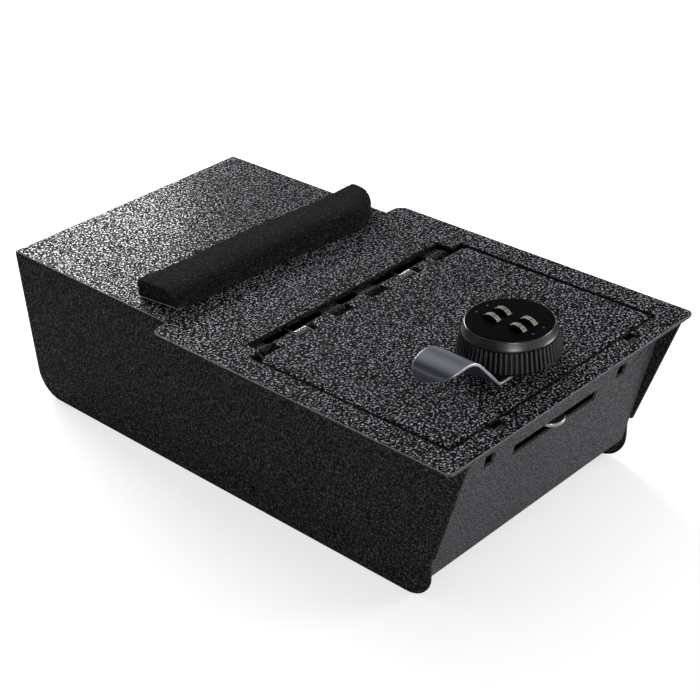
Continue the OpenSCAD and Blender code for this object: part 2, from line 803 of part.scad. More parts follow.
module pull_handle() {
    color("lightsteelblue") translate([0, lock_y, top_z]) difference() {
        rotate([90, 0, 0]) linear_extrude(handle_w, center = true)
            polygon(strip_outline(handle_line(), handle_t));
        translate([0, 0, -handle_t]) cylinder(d = barrel_d + 2 * hole_fit, h = 3 * handle_t);
        lip_rear_corner();
        lip_front_cut();
    }
}

// A part of the lock, with its heights measured from the door's face
module at_lock() {
    translate([0, lock_y, top_z]) children();
}

latch_top = -latch_drop + latch_t / 2;
barrel_end = latch_top + seat_gap;
module lock_body() {
    color("#161718") at_lock() difference() {
        union() {
            translate([0, 0, handle_t]) cylinder(r = base_r, h = base_t);
            translate([0, 0, barrel_end]) cylinder(d = barrel_d, h = base_top - barrel_end);
        }
        translate([0, 0, barrel_end - eps])
            cylinder(r = spindle_d / 2 + spindle_fit, h = base_top - barrel_end + 2 * eps);
    }
}

washer_z = -sheet_t - doubler_t - washer_t;
module lock_washer() {
    color("silver") at_lock() translate([0, 0, washer_z]) difference() {
        cylinder(d = washer_d, h = washer_t);
        translate([0, 0, -eps]) cylinder(d = barrel_d + 2 * hole_fit, h = washer_t + 2 * eps);
    }
}

module lock_nut() {
    color("silver") at_lock() translate([0, 0, washer_z - nut_t]) difference() {
        cylinder(d = nut_af / cos(30), h = nut_t, $fn = 6);
        translate([0, 0, -eps]) cylinder(r = barrel_d / 2 + spindle_fit, h = nut_t + 2 * eps);
    }
}

// The radius of the grip over the ribs at their upper end
rib_top_r = knob_r + grip_wall;
// What share of the pitch a rib's crest and each of its flanks take
rib_crest = 0.4;
rib_flank = 0.1;
module ribbed_outline() {
    pitch = 360 / rib_n;
    tooth = [[rib_r, 0], [rib_r, rib_crest], [knob_r, rib_crest + rib_flank], [knob_r, 1 - rib_flank]];
    polygon([for (i = [0:rib_n - 1], q = tooth)
        let (a = (i + q[1]) * pitch) [q[0] * cos(a), q[0] * sin(a)]]);
}
module knob_grip() {
    h = rib_top - knob_bottom;
    color("#1b1c1e") at_lock() difference() {
        union() {
            translate([0, 0, knob_bottom]) intersection() {
                linear_extrude(h) ribbed_outline();
                cylinder(r1 = rib_r, r2 = rib_top_r, h = h);
            }
            rotate_extrude() polygon([
                [0, knob_bottom], [rib_r - rib_depth, knob_bottom], [rib_top_r - rib_depth, rib_top],
                [knob_r, knob_top - knob_bevel], [knob_r - knob_bevel, knob_top], [0, knob_top]]);
        }
        translate([0, 0, knob_bottom - eps]) cylinder(r = core_r, h = knob_top - knob_bottom + 2 * eps);
    }
}

// The room for one wheel, measured from the door's face
pocket_r = wheel_r + wheel_gap;
pocket_w = wheel_w + 2 * wheel_gap;
module wheel_room(x, y) {
    translate([x, y, axle_z]) rotate([0, 90, 0]) cylinder(r = pocket_r, h = pocket_w, center = true);
}
module wheel_rooms() {
    for (x = [-wheel_x, wheel_x], y = [-wheel_y, wheel_y]) wheel_room(x, y);
}

spindle_top = axle_z - pocket_r - seat_gap;
axle_l = 2 * (wheel_x + wheel_w + axle_d / 2);
module knob_core() {
    color("#161718") at_lock() difference() {
        translate([0, 0, knob_bottom]) cylinder(r = core_r - hole_fit, h = core_top - knob_bottom);
        wheel_rooms();
        for (y = [-wheel_y, wheel_y]) translate([0, y, axle_z])
            rotate([0, 90, 0]) cylinder(r = axle_d / 2 + axle_fit, h = axle_l + 2 * axle_fit, center = true);
        translate([0, 0, knob_bottom - eps])
            cylinder(r = spindle_d / 2 + spindle_fit, h = spindle_top - knob_bottom + eps);
    }
}

// A pointer on the cap in line with each wheel, beyond its end
window_half = sqrt(pow(pocket_r, 2) - pow(knob_top - axle_z, 2));
pointer_y = wheel_y + window_half + pointer_gap + pointer_l / 2;
module knob_cap() {
    color("#202124") at_lock() difference() {
        translate([0, 0, core_top]) cylinder(r = core_r - hole_fit, h = cap_t);
        wheel_rooms();
        for (x = [-wheel_x, wheel_x], side = [-1, 1]) translate([x, side * pointer_y, knob_top])
            cube([pointer_w, pointer_l, 2 * pointer_depth], center = true);
    }
}

module axle(y) {
    color("silver") at_lock() translate([0, y, axle_z])
        rotate([0, 90, 0]) cylinder(d = axle_d, h = axle_l, center = true);
}

module rear_axle() {
    axle(wheel_y);
}

module front_axle() {
    axle(-wheel_y);
}

module spindle() {
    color("silver") at_lock() difference() {
        union() {
            translate([0, 0, latch_top]) cylinder(d = spindle_d, h = spindle_top - latch_top);
            rotate(latch_turn) translate([-square_d / 2, -square_d / 2, latch_top - latch_t])
                cube([square_d, square_d, latch_t + eps]);
        }
        translate([0, 0, latch_top - latch_t - eps])
            cylinder(r = screw_d / 2 + spindle_fit, h = screw_l + seat_gap);
    }
}

module latch() {
    hole = square_d + 2 * hole_fit;
    end_r = latch_w / 2;
    color("gainsboro") at_lock() translate([0, 0, latch_top - latch_t]) rotate(latch_turn)
        linear_extrude(latch_t) difference() {
        union() {
            circle(latch_eye_r);
            translate([-end_r, -latch_reach + end_r]) square([latch_w, latch_reach - end_r]);
            translate([0, -latch_reach + end_r]) circle(end_r);
        }
        square(hole, center = true);
    }
}

module latch_screw() {
    color("silver") at_lock() translate([0, 0, latch_top - latch_t - screw_h]) {
        cylinder(d = screw_af / cos(30), h = screw_h, $fn = 6);
        translate([0, 0, screw_h - eps]) cylinder(d = screw_d, h = screw_l + eps);
    }
}

// Ten digits, with a groove between each two of them
digit_n = 10;
module number_wheel(x, y) {
    color("antiquewhite") at_lock() translate([x, y, axle_z]) rotate([0, 90, 0]) difference() {
        cylinder(r = wheel_r, h = wheel_w, center = true);
        cylinder(r = axle_d / 2 + axle_fit, h = wheel_w + 2 * eps, center = true);
        for (i = [0:digit_n - 1]) rotate(360 * (i + 0.5) / digit_n) translate([wheel_r, 0, 0])
            cylinder(r = groove_r, h = wheel_w + 2 * eps, center = true, $fn = 16);
    }
}

module wheel_rear_left() {
    number_wheel(-wheel_x, wheel_y);
}

module wheel_rear_right() {
    number_wheel(wheel_x, wheel_y);
}

module wheel_front_left() {
    number_wheel(-wheel_x, -wheel_y);
}

module wheel_front_right() {
    number_wheel(wheel_x, -wheel_y);
}

top_plate();
left_panel();
right_panel();
front_wall();
floor_plate();
back_wall();
left_ledge();
right_ledge();
case_knuckles();
hinge_rod();
rod_clips();
left_spring();
right_spring();
foam_liner();
foam_strip();
door_panel();
door_knuckles();
door_doubler();
pull_handle();
lock_body();
lock_washer();
lock_nut();
knob_grip();
knob_core();
knob_cap();
rear_axle();
front_axle();
spindle();
latch();
latch_screw();
wheel_rear_left();
wheel_rear_right();
wheel_front_left();
wheel_front_right();
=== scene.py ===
"""The looks of the vehicle console safe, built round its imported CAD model."""
import json
import math

import bmesh
import bpy
from mathutils import Matrix, Vector, noise


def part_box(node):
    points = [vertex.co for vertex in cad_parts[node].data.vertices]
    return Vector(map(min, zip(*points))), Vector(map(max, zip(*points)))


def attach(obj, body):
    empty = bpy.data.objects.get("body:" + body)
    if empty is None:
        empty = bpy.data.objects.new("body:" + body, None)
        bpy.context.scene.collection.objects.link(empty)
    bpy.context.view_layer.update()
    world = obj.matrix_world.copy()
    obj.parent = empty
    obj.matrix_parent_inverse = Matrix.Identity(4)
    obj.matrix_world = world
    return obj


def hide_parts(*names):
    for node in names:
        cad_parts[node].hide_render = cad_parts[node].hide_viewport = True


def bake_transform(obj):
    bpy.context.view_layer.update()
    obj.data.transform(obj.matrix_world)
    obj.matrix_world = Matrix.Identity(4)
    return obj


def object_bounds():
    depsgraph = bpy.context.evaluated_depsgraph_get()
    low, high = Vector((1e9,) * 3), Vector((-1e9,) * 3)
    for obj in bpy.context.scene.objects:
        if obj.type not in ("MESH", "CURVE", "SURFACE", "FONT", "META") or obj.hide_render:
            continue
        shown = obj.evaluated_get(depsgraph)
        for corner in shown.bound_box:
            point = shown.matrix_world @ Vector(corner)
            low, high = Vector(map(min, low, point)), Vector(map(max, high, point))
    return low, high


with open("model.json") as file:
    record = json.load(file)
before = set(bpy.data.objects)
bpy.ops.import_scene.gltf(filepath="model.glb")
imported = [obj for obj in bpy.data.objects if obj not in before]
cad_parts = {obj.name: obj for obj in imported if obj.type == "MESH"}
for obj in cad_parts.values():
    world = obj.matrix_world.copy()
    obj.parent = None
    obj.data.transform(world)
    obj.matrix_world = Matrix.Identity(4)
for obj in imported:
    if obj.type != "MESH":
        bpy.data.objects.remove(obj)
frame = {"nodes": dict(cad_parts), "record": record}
cad_low, cad_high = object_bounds()

MM = 0.001
# The body that each node rides on
BODY_OF = {node: body for body, nodes in frame["record"]["behaviour"]["bodies"].items()
           for node in nodes}


# Shader building

class Shader:
    """A node tree that is filled step by step."""

    def __init__(self, tree):
        self.tree = tree

    def node(self, kind, inputs=None, **settings):
        made = self.tree.nodes.new(kind)
        for name, value in settings.items():
            setattr(made, name, value)
        for name, value in (inputs or {}).items():
            self.feed(made.inputs[name], value)
        return made

    def feed(self, socket, value):
        if isinstance(value, bpy.types.NodeSocket):
            self.tree.links.new(value, socket)
        else:
            socket.default_value = value

    def math(self, operation, a, b=0.0, clamp=False):
        made = self.node("ShaderNodeMath", operation=operation, use_clamp=clamp)
        self.feed(made.inputs[0], a)
        self.feed(made.inputs[1], b)
        return made.outputs[0]

    def ramp(self, value, low, high, to_low=0.0, to_high=1.0):
        made = self.node("ShaderNodeMapRange", {"Value": value, "From Min": low, "From Max": high,
                                                "To Min": to_low, "To Max": to_high})
        return made.outputs["Result"]

    def mix(self, factor, a, b):
        made = self.node("ShaderNodeMix", data_type="RGBA")
        self.feed(made.inputs["Factor"], factor)
        self.feed(made.inputs["A"], a)
        self.feed(made.inputs["B"], b)
        return made.outputs["Result"]

    def noise(self, vector, scale, detail=2.0, roughness=0.5):
        return self.node("ShaderNodeTexNoise", {"Vector": vector, "Scale": scale, "Detail": detail,
                                                "Roughness": roughness}).outputs["Fac"]

    def bump(self, height, strength, distance):
        return self.node("ShaderNodeBump", {"Height": height, "Strength": strength,
                                            "Distance": distance}).outputs["Normal"]


def group(name, inputs, outputs):
    """An empty node group; returns its Shader, its inputs' sockets and its outputs' sockets."""
    tree = bpy.data.node_groups.new(name, "ShaderNodeTree")
    for socket, kind, value in inputs:
        made = tree.interface.new_socket(socket, in_out="INPUT", socket_type=kind)
        if value is not None:
            made.default_value = value
    for socket, kind in outputs:
        tree.interface.new_socket(socket, in_out="OUTPUT", socket_type=kind)
    shader = Shader(tree)
    return shader, shader.node("NodeGroupInput").outputs, shader.node("NodeGroupOutput").inputs


def start_material(name):
    material = bpy.data.materials.new(name)
    material.use_nodes = True
    material.node_tree.nodes.clear()
    shader = Shader(material.node_tree)
    place = shader.node("ShaderNodeTexCoord").outputs["Object"]
    principled = shader.node("ShaderNodeBsdfPrincipled")
    out = shader.node("ShaderNodeOutputMaterial")
    shader.tree.links.new(principled.outputs["BSDF"], out.inputs["Surface"])
    return material, shader, place, principled


def grey(value, blue=1.0):
    return (value, value, value * blue, 1)


def use_group(shader, tree, inputs):
    made = shader.node("ShaderNodeGroup", node_tree=tree)
    for name, value in inputs.items():
        shader.feed(made.inputs[name], value)
    return made.outputs


# Camera

# Focal length and sensor width, and the camera's place and axes in the safe's frame
LENS_MM = 85.3
SENSOR_MM = 36.0
CAMERA_PLACE = (-0.574, -0.580, 0.5318)
CAMERA_RIGHT = (0.6860, -0.7266, -0.0383)
CAMERA_UP = (0.3893, 0.3221, 0.8629)


def set_camera():
    right = Vector(CAMERA_RIGHT).normalized()
    back = right.cross(Vector(CAMERA_UP)).normalized()
    up = back.cross(right)
    turn = Matrix((right, up, back)).transposed().to_4x4()
    data = bpy.data.cameras.new("camera")
    data.lens = LENS_MM
    data.sensor_width = SENSOR_MM
    data.sensor_fit = "HORIZONTAL"
    data.clip_start = 10 * MM
    camera = bpy.data.objects.new("camera", data)
    camera.matrix_world = Matrix.Translation(CAMERA_PLACE) @ turn
    bpy.context.scene.collection.objects.link(camera)
    bpy.context.scene.camera = camera


# Light, floor and background

# Each lamp: place, point it looks at, width, height and power in watts
LAMPS = {
    "back_softbox": ((0.38, 1.20, 0.56), (0.0, 0.05, 0.08), 0.8, 0.35, 14.5),
    "right_fill": ((1.1, -1.0, 0.36), (0.0, -0.15, 0.07), 0.6, 0.6, 8.0),
    "left_fill": ((-1.0, -1.3, 0.30), (-0.05, -0.20, 0.07), 0.6, 0.4, 9.0),
    "overhead": ((0.0, 0.45, 1.9), (0.0, 0.0, 0.05), 1.8, 1.8, 5.0),
}
# The even light that comes from all round, on all but shiny faces
WORLD_LIGHT = 0.23
# What shiny faces see of the studio, as two fades over the direction they look in: from the
# pale walls up to the dark ceiling, and from the dim left wall to the right. Each has the
# direction's part at its start and end, and the strength there
GLOSSY_HEIGHT = (0.05, 0.42, 0.9, 0.06)
GLOSSY_WIDTH = (-0.5, 0.15, 0.2, 1.0)
FLOOR_HALF = 6.0
# How much paler than its colour the camera sees the floor: the distances from the safe, in
# metres, between which this grows, and the glow there
FLOOR_GLOW = (0.6, 1.8, 0.60, 1.0)
# The ground seen through the safe's own holes has no glow: half its width, its middle's
# place along the safe, and half its depth
UNDER_HALF_X = 78 * MM
UNDER_Y = 20 * MM
UNDER_HALF_Y = 140 * MM


def add_lamp(name, place, aim, width, height, power):
    data = bpy.data.lights.new(name, "AREA")
    data.shape = "RECTANGLE"
    data.size = width
    data.size_y = height
    data.energy = power
    lamp = bpy.data.objects.new(name, data)
    turn = (Vector(aim) - Vector(place)).to_track_quat("-Z", "Y")
    lamp.matrix_world = Matrix.Translation(place) @ turn.to_matrix().to_4x4()
    bpy.context.scene.collection.objects.link(lamp)


def set_world():
    """White to the camera, a walled studio to shiny faces, and an even light to all others."""
    world = bpy.data.worlds.new("studio")
    bpy.context.scene.world = world
    world.use_nodes = True
    world.node_tree.nodes.clear()
    studio = Shader(world.node_tree)
    path = studio.node("ShaderNodeLightPath").outputs
    looked = studio.node("ShaderNodeTexCoord").outputs["Generated"]
    split = studio.node("ShaderNodeSeparateXYZ", {"Vector": looked}).outputs
    walled = studio.math("MULTIPLY", studio.ramp(split["Z"], *GLOSSY_HEIGHT),
                         studio.ramp(split["X"], *GLOSSY_WIDTH))
    even, glossy, white = (
        studio.node("ShaderNodeBackground", {"Color": grey(1.0), "Strength": strength}).outputs[0]
        for strength in (WORLD_LIGHT, walled, 1.0))
    by_gloss = studio.node("ShaderNodeMixShader", {0: path["Is Glossy Ray"], 1: even, 2: glossy})
    by_camera = studio.node("ShaderNodeMixShader", {
        0: path["Is Camera Ray"], 1: by_gloss.outputs[0], 2: white})
    studio.node("ShaderNodeOutputWorld", {"Surface": by_camera.outputs[0]})


def floor_material():
    """A pale floor that fades to white in the distance, and keeps the safe's shadow."""
    material, shader, place, principled = start_material("pale_floor")
    patch = shader.noise(place, 3.0, 2.0, 0.5)
    shader.feed(principled.inputs["Base Color"], shader.mix(patch, grey(0.86), grey(0.90)))
    seen = shader.node("ShaderNodeLightPath").outputs["Is Camera Ray"]
    split = shader.node("ShaderNodeSeparateXYZ", {"Vector": place}).outputs
    beside = shader.math("GREATER_THAN", shader.math("ABSOLUTE", split["X"]), UNDER_HALF_X)
    from_middle = shader.math("ABSOLUTE", shader.math("SUBTRACT", split["Y"], UNDER_Y))
    beyond = shader.math("GREATER_THAN", from_middle, UNDER_HALF_Y)
    open_floor = shader.math("MAXIMUM", beside, beyond)
    distance = shader.node("ShaderNodeVectorMath", {"Vector": place}, operation="LENGTH")
    paler = shader.ramp(distance.outputs["Value"], *FLOOR_GLOW)
    principled.inputs["Emission Color"].default_value = grey(1.0)
    shader.feed(principled.inputs["Emission Strength"],
                shader.math("MULTIPLY", shader.math("MULTIPLY", seen, open_floor), paler))
    principled.inputs["Roughness"].default_value = 0.9
    principled.inputs["Specular IOR Level"].default_value = 0.1
    return material


def make_floor():
    mesh = bpy.data.meshes.new("floor")
    h = FLOOR_HALF
    mesh.from_pydata([(-h, -h, 0), (h, -h, 0), (h, h, 0), (-h, h, 0)], [], [(0, 1, 2, 3)])
    floor = bpy.data.objects.new("floor", mesh)
    floor.data.materials.append(floor_material())
    bpy.context.scene.collection.objects.link(floor)


# Finishes

def wrinkle_group():
    """The wrinkled skin of a textured powder coat: its crests from 0 to 1, and its height."""
    shader, given, made = group(
        "wrinkle_coat",
        [("Vector", "NodeSocketVector", None), ("Grains per metre", "NodeSocketFloat", 800.0),
         ("Foot", "NodeSocketFloat", 0.5), ("Top", "NodeSocketFloat", 0.8)],
        [("Crest", "NodeSocketFloat"), ("Height", "NodeSocketFloat")])
    place = given["Vector"]
    scale = given["Grains per metre"]
    fine = shader.noise(place, scale, 1.0, 0.5)
    worms = shader.node("ShaderNodeTexVoronoi", {"Vector": place, "Scale": scale},
                        feature="SMOOTH_F1").outputs["Distance"]
    both = shader.math("SUBTRACT", shader.math("MULTIPLY", fine, 1.5),
                       shader.math("MULTIPLY", worms, 0.55))
    shader.feed(made["Height"], both)
    rise = shader.ramp(both, given["Foot"], given["Top"])
    shader.feed(made["Crest"], shader.math("POWER", rise, 2.0))
    return shader.tree


def scratch_group():
    """Fine marks and smudges on bright metal, for its roughness."""
    shader, given, made = group(
        "handled_metal",
        [("Vector", "NodeSocketVector", None), ("Roughness", "NodeSocketFloat", 0.15),
         ("Spread", "NodeSocketFloat", 0.1)],
        [("Roughness", "NodeSocketFloat"), ("Height", "NodeSocketFloat")])
    smudge = shader.noise(given["Vector"], 60.0, 3.0, 0.6)
    fine = shader.noise(given["Vector"], 1500.0, 2.0, 0.6)
    spread = shader.math("MULTIPLY", shader.math("SUBTRACT", smudge, 0.5), given["Spread"])
    shader.feed(made["Roughness"], shader.math("ADD", given["Roughness"], spread, True))
    shader.feed(made["Height"], fine)
    return shader.tree


WRINKLE = wrinkle_group()
HANDLED = scratch_group()


def powder_material(name, grains, rise, valley, crest, roughness, gloss, depth):
    """Textured black powder coat: glossy crests over dull valleys, with the crests' paler grey a
    painted sheen.

    Rise is where the crests start and end in the skin's height, valley and crest are greys, gloss
    the crests' share of clear skin, depth the relief in metres. The crest grey is painted sheen: it
    stands in for the glints that light strikes from the crests.
    """
    material, shader, place, principled = start_material(name)
    skin = use_group(shader, WRINKLE, {"Vector": place, "Grains per metre": grains,
                                      "Foot": rise[0], "Top": rise[1]})
    patch = shader.noise(place, 18.0, 2.0, 0.5)
    # The crests' paler, bluish grey is painted sheen, standing in for the glints that light strikes
    # from them
    crest_sheen_grey = shader.mix(patch, grey(crest * 0.8, 1.08), grey(crest * 1.2, 1.12))
    shader.feed(principled.inputs["Base Color"],
                shader.mix(skin["Crest"], grey(valley, 1.05), crest_sheen_grey))
    principled.inputs["Roughness"].default_value = 0.75
    principled.inputs["Specular IOR Level"].default_value = 0.05
    shader.feed(principled.inputs["Coat Weight"], shader.ramp(skin["Crest"], 0, 1, 0.0, gloss))
    principled.inputs["Coat Roughness"].default_value = roughness
    principled.inputs["Coat IOR"].default_value = 2.1
    shader.feed(principled.inputs["Normal"], shader.bump(skin["Height"], 1.0, depth))
    return material


def metal_material(name, colour, roughness, spread, relief):
    """Bare or plated metal; spread is how much its roughness varies, relief is in metres."""
    material, shader, place, principled = start_material(name)
    marks = use_group(shader, HANDLED, {"Vector": place, "Roughness": roughness, "Spread": spread})
    principled.inputs["Base Color"].default_value = colour
    principled.inputs["Metallic"].default_value = 1.0
    shader.feed(principled.inputs["Roughness"], marks["Roughness"])
    shader.feed(principled.inputs["Normal"], shader.bump(marks["Height"], 0.3, relief))
    return material


def moulded_material(name, colour, roughness, relief, shine=0.5):
    """Moulded plastic with a faint grain."""
    material, shader, place, principled = start_material(name)
    grain = shader.noise(place, 2500.0, 2.0, 0.5)
    patch = shader.noise(place, 40.0, 2.0, 0.5)
    darker = tuple(c * 0.8 for c in colour[:3]) + (1,)
    shader.feed(principled.inputs["Base Color"], shader.mix(patch, darker, colour))
    shader.feed(principled.inputs["Roughness"],
                shader.ramp(patch, 0.3, 0.7, roughness - 0.04, roughness + 0.04))
    principled.inputs["Specular IOR Level"].default_value = shine
    shader.feed(principled.inputs["Normal"], shader.bump(grain, 0.4, relief))
    return material


def foam_material():
    """Black open-cell foam: dark pores between lighter cell walls."""
    material, shader, place, principled = start_material("cut_foam")
    cells = shader.node("ShaderNodeTexVoronoi", {"Vector": place, "Scale": 1100.0},
                        feature="F1").outputs["Distance"]
    fine = shader.noise(place, 1700.0, 2.0, 0.6)
    walls = shader.math("ADD", shader.math("MULTIPLY", cells, 0.7),
                        shader.math("MULTIPLY", fine, 0.6))
    shader.feed(principled.inputs["Base Color"],
                shader.mix(shader.ramp(walls, 0.66, 0.95), grey(0.002), (0.041, 0.042, 0.045, 1)))
    principled.inputs["Roughness"].default_value = 0.95
    principled.inputs["Specular IOR Level"].default_value = 0.15
    shader.feed(principled.inputs["Normal"], shader.bump(walls, 1.0, 0.0006))
    return material


def film_material():
    """The foam's waxed paper, yellowed in patches."""
    material, shader, place, principled = start_material("release_film")
    patch = shader.noise(place, 120.0, 3.0, 0.6)
    shader.feed(principled.inputs["Base Color"],
                shader.mix(patch, (0.30, 0.28, 0.22, 1), (0.50, 0.48, 0.40, 1)))
    principled.inputs["Roughness"].default_value = 0.5
    shader.feed(principled.inputs["Normal"], shader.bump(patch, 0.4, 0.0004))
    return material


# The top coat's crests are painted near-white, as painted glints
COAT_TOP = powder_material("coat_top", 880.0, (0.50, 0.82), 0.0003, 0.66, 0.22, 0.9, 0.0004)
COAT_SIDE = powder_material("coat_side", 900.0, (0.25, 1.00), 0.006, 0.085, 0.6, 0.3, 0.0002)
# A paler copy of the black coat for faces that look to the front, as painted light
COAT_FRONT_LIT = powder_material("coat_front_painted_light", 1300.0, (0.4, 0.65), 0.050, 0.11, 0.6, 0.3, 0.0001)
# A paler copy of the black coat for the sheets' rounded rims, as a painted highlight
COAT_RIM_HIGHLIGHT = powder_material("coat_rim_painted_highlight", 1300.0, (0.4, 0.65), 0.13, 0.20, 0.5, 0.4, 0.0001)
# A darker copy of the black coat for the parts inside the recesses, as painted shade
COAT_INSIDE_SHADED = powder_material("coat_inside_painted_shade", 1000.0, (0.4, 0.7), 0.004, 0.045, 0.6, 0.2, 0.0002)
# The plated strip's dark, bluish colour is a painted reflection of the dim studio round it
CHROME_PAINTED_DARK = metal_material("polished_strip_painted_dark", (0.23, 0.24, 0.29, 1), 0.44, 0.06, 0.00001)
# Near-white metal for the strip's cut edges, as a painted highlight
EDGE_PAINTED_HIGHLIGHT = metal_material("strip_edge_painted_highlight", (0.95, 0.96, 0.98, 1), 0.45, 0.05, 0.00001)
ZINC = metal_material("zinc_plate", (0.60, 0.61, 0.62, 1), 0.30, 0.15, 0.00003)
WIRE = metal_material("drawn_wire", (0.50, 0.52, 0.49, 1), 0.24, 0.10, 0.00002)
NYLON = moulded_material("black_nylon", (0.003, 0.003, 0.004, 1), 0.42, 0.00002, 0.15)
# Copies of the knob's black plastic, painted paler on the ribs, rounded edge and collar as painted
# sheen
RIB_SHEEN_BLACK = moulded_material("rib_painted_sheen", (0.018, 0.018, 0.020, 1), 0.34, 0.00001, 0.6)
CAP_BLACK = moulded_material("satin_black", (0.002, 0.002, 0.003, 1), 0.26, 0.00001, 0.07)
KNOB_EDGE_HIGHLIGHT = moulded_material("knob_edge_painted_highlight", (0.012, 0.012, 0.013, 1), 0.20, 0.000005, 0.9)
COLLAR_SHEEN_BLACK = moulded_material("collar_painted_sheen", (0.010, 0.010, 0.011, 1), 0.32, 0.00001, 0.8)
BLACKENED = metal_material("blackened_rod", (0.05, 0.05, 0.05, 1), 0.5, 0.10, 0.00002)
# A dark copy of the wire for the spring's rear leg, as painted shade
WIRE_PAINTED_SHADE = metal_material("wire_painted_shade", (0.06, 0.06, 0.06, 1), 0.45, 0.10, 0.00002)
CREAM = moulded_material("cream_plastic", (0.52, 0.49, 0.39, 1), 0.35, 0.00001)
INK = moulded_material("black_ink", (0.012, 0.011, 0.010, 1), 0.5, 0.00001)
MARK_PAINT = moulded_material("pale_paint", (0.14, 0.14, 0.14, 1), 0.5, 0.00001)
FOAM = foam_material()
FILM = film_material()


# Mesh building

# Two faces of a CAD solid that meet at more than this, in degrees, make a sharp edge
SHARP_EDGE = 32


def add_object(name, mesh, material=None):
    made = bpy.data.objects.new(name, mesh)
    bpy.context.scene.collection.objects.link(made)
    if material:
        mesh.materials.append(material)
    return made


def mesh_of(name, points, faces):
    mesh = bpy.data.meshes.new(name)
    mesh.from_pydata([tuple(p) for p in points], [], faces)
    mesh.validate()
    return mesh


def baked(obj):
    """The object with its modifiers worked into a plain mesh."""
    graph = bpy.context.evaluated_depsgraph_get()
    mesh = bpy.data.meshes.new_from_object(obj.evaluated_get(graph), depsgraph=graph)
    obj.modifiers.clear()
    obj.data = mesh
    return obj


def geometry_tree(name, sizes):
    """A geometry tree with a mesh to add to, the sizes and a finish as its inputs.

    Returns the tree, its Shader, its inputs' sockets and its output's socket.
    """
    tree = bpy.data.node_groups.new(name, "GeometryNodeTree")
    tree.interface.new_socket("Geometry", in_out="INPUT", socket_type="NodeSocketGeometry")
    for size, value in sizes.items():
        kind = "NodeSocketInt" if isinstance(value, int) else "NodeSocketFloat"
        tree.interface.new_socket(size, in_out="INPUT", socket_type=kind).default_value = value
    tree.interface.new_socket("Finish", in_out="INPUT", socket_type="NodeSocketMaterial")
    tree.interface.new_socket("Geometry", in_out="OUTPUT", socket_type="NodeSocketGeometry")
    nodes = Shader(tree)
    given = nodes.node("NodeGroupInput").outputs
    return tree, nodes, given, nodes.node("NodeGroupOutput").inputs["Geometry"]


def end_tree(nodes, last, given, made):
    """Ends a geometry tree with real geometry in the finish that it was given."""
    real = nodes.node("GeometryNodeRealizeInstances", {"Geometry": last.outputs[0]})
    dressed = nodes.node("GeometryNodeSetMaterial", {
        "Geometry": real.outputs[0], "Material": given["Finish"]})
    nodes.feed(made, dressed.outputs[0])


def grown(name, tree, values, base=None):
    """A plain mesh object made by a geometry tree, with the tree's inputs set by name."""
    made = add_object(name, base or bpy.data.meshes.new(name))
    grower = made.modifiers.new("grow", "NODES")
    grower.node_group = tree
    sockets = {s.name: s.identifier for s in tree.interface.items_tree if s.in_out == "INPUT"}
    for socket, value in values.items():
        grower[sockets[socket]] = value
    return baked(made)


def shade(mesh, degrees):
    """Smooth, but for edges sharper than so many degrees."""
    mesh.shade_smooth()
    mesh.set_sharp_from_angle(angle=math.radians(degrees))


def outward(mesh):
    """Merges the mesh's doubled points and turns its faces outwards."""
    turned = bmesh.new()
    turned.from_mesh(mesh)
    bmesh.ops.remove_doubles(turned, verts=turned.verts, dist=0.0001 * MM)
    bmesh.ops.recalc_face_normals(turned, faces=turned.faces)
    turned.to_mesh(mesh)
    turned.free()


def bevel(obj, width, segments=2, degrees=SHARP_EDGE, harden=True):
    made = obj.modifiers.new("edges", "BEVEL")
    made.width = width
    made.segments = segments
    made.limit_method = "ANGLE"
    made.angle_limit = math.radians(degrees)
    made.use_clamp_overlap = False
    made.harden_normals = harden


def paint_faces(obj, finishes, choose):
    """Gives each face the finish that choose returns for it, one of those in the list."""
    obj.data.materials.clear()
    for finish in finishes:
        obj.data.materials.append(finish)
    for face in obj.data.polygons:
        face.material_index = finishes.index(choose(face))


def finish_piece(obj, node, stands_for_it=True):
    """Puts a piece on its node's body, in the node's place or as one more piece on it."""
    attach(obj, BODY_OF[node])
    if stands_for_it:
        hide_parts(node)


def joined_copy(node):
    """A copy of a CAD node's mesh, with its loose triangles joined and its flat sides whole."""
    mesh = frame["nodes"][node].data.copy()
    mesh.materials.clear()
    joined = bmesh.new()
    joined.from_mesh(mesh)
    bmesh.ops.remove_doubles(joined, verts=joined.verts, dist=0.002 * MM)
    bmesh.ops.dissolve_limit(joined, angle_limit=math.radians(0.6), verts=joined.verts,
                             edges=joined.edges, use_dissolve_boundaries=False)
    joined.to_mesh(mesh)
    joined.free()
    return mesh


def softened(node, material, width):
    """A copy of a CAD node with its sharp edges rounded, which stands for the node."""
    mesh = joined_copy(node)
    for layer in list(mesh.uv_layers):
        mesh.uv_layers.remove(layer)
    made = add_object(node + "_finish", mesh, material)
    shade(mesh, SHARP_EDGE)
    bevel(made, width)
    baked(made)
    finish_piece(made, node)
    return made


# Body and door sheets

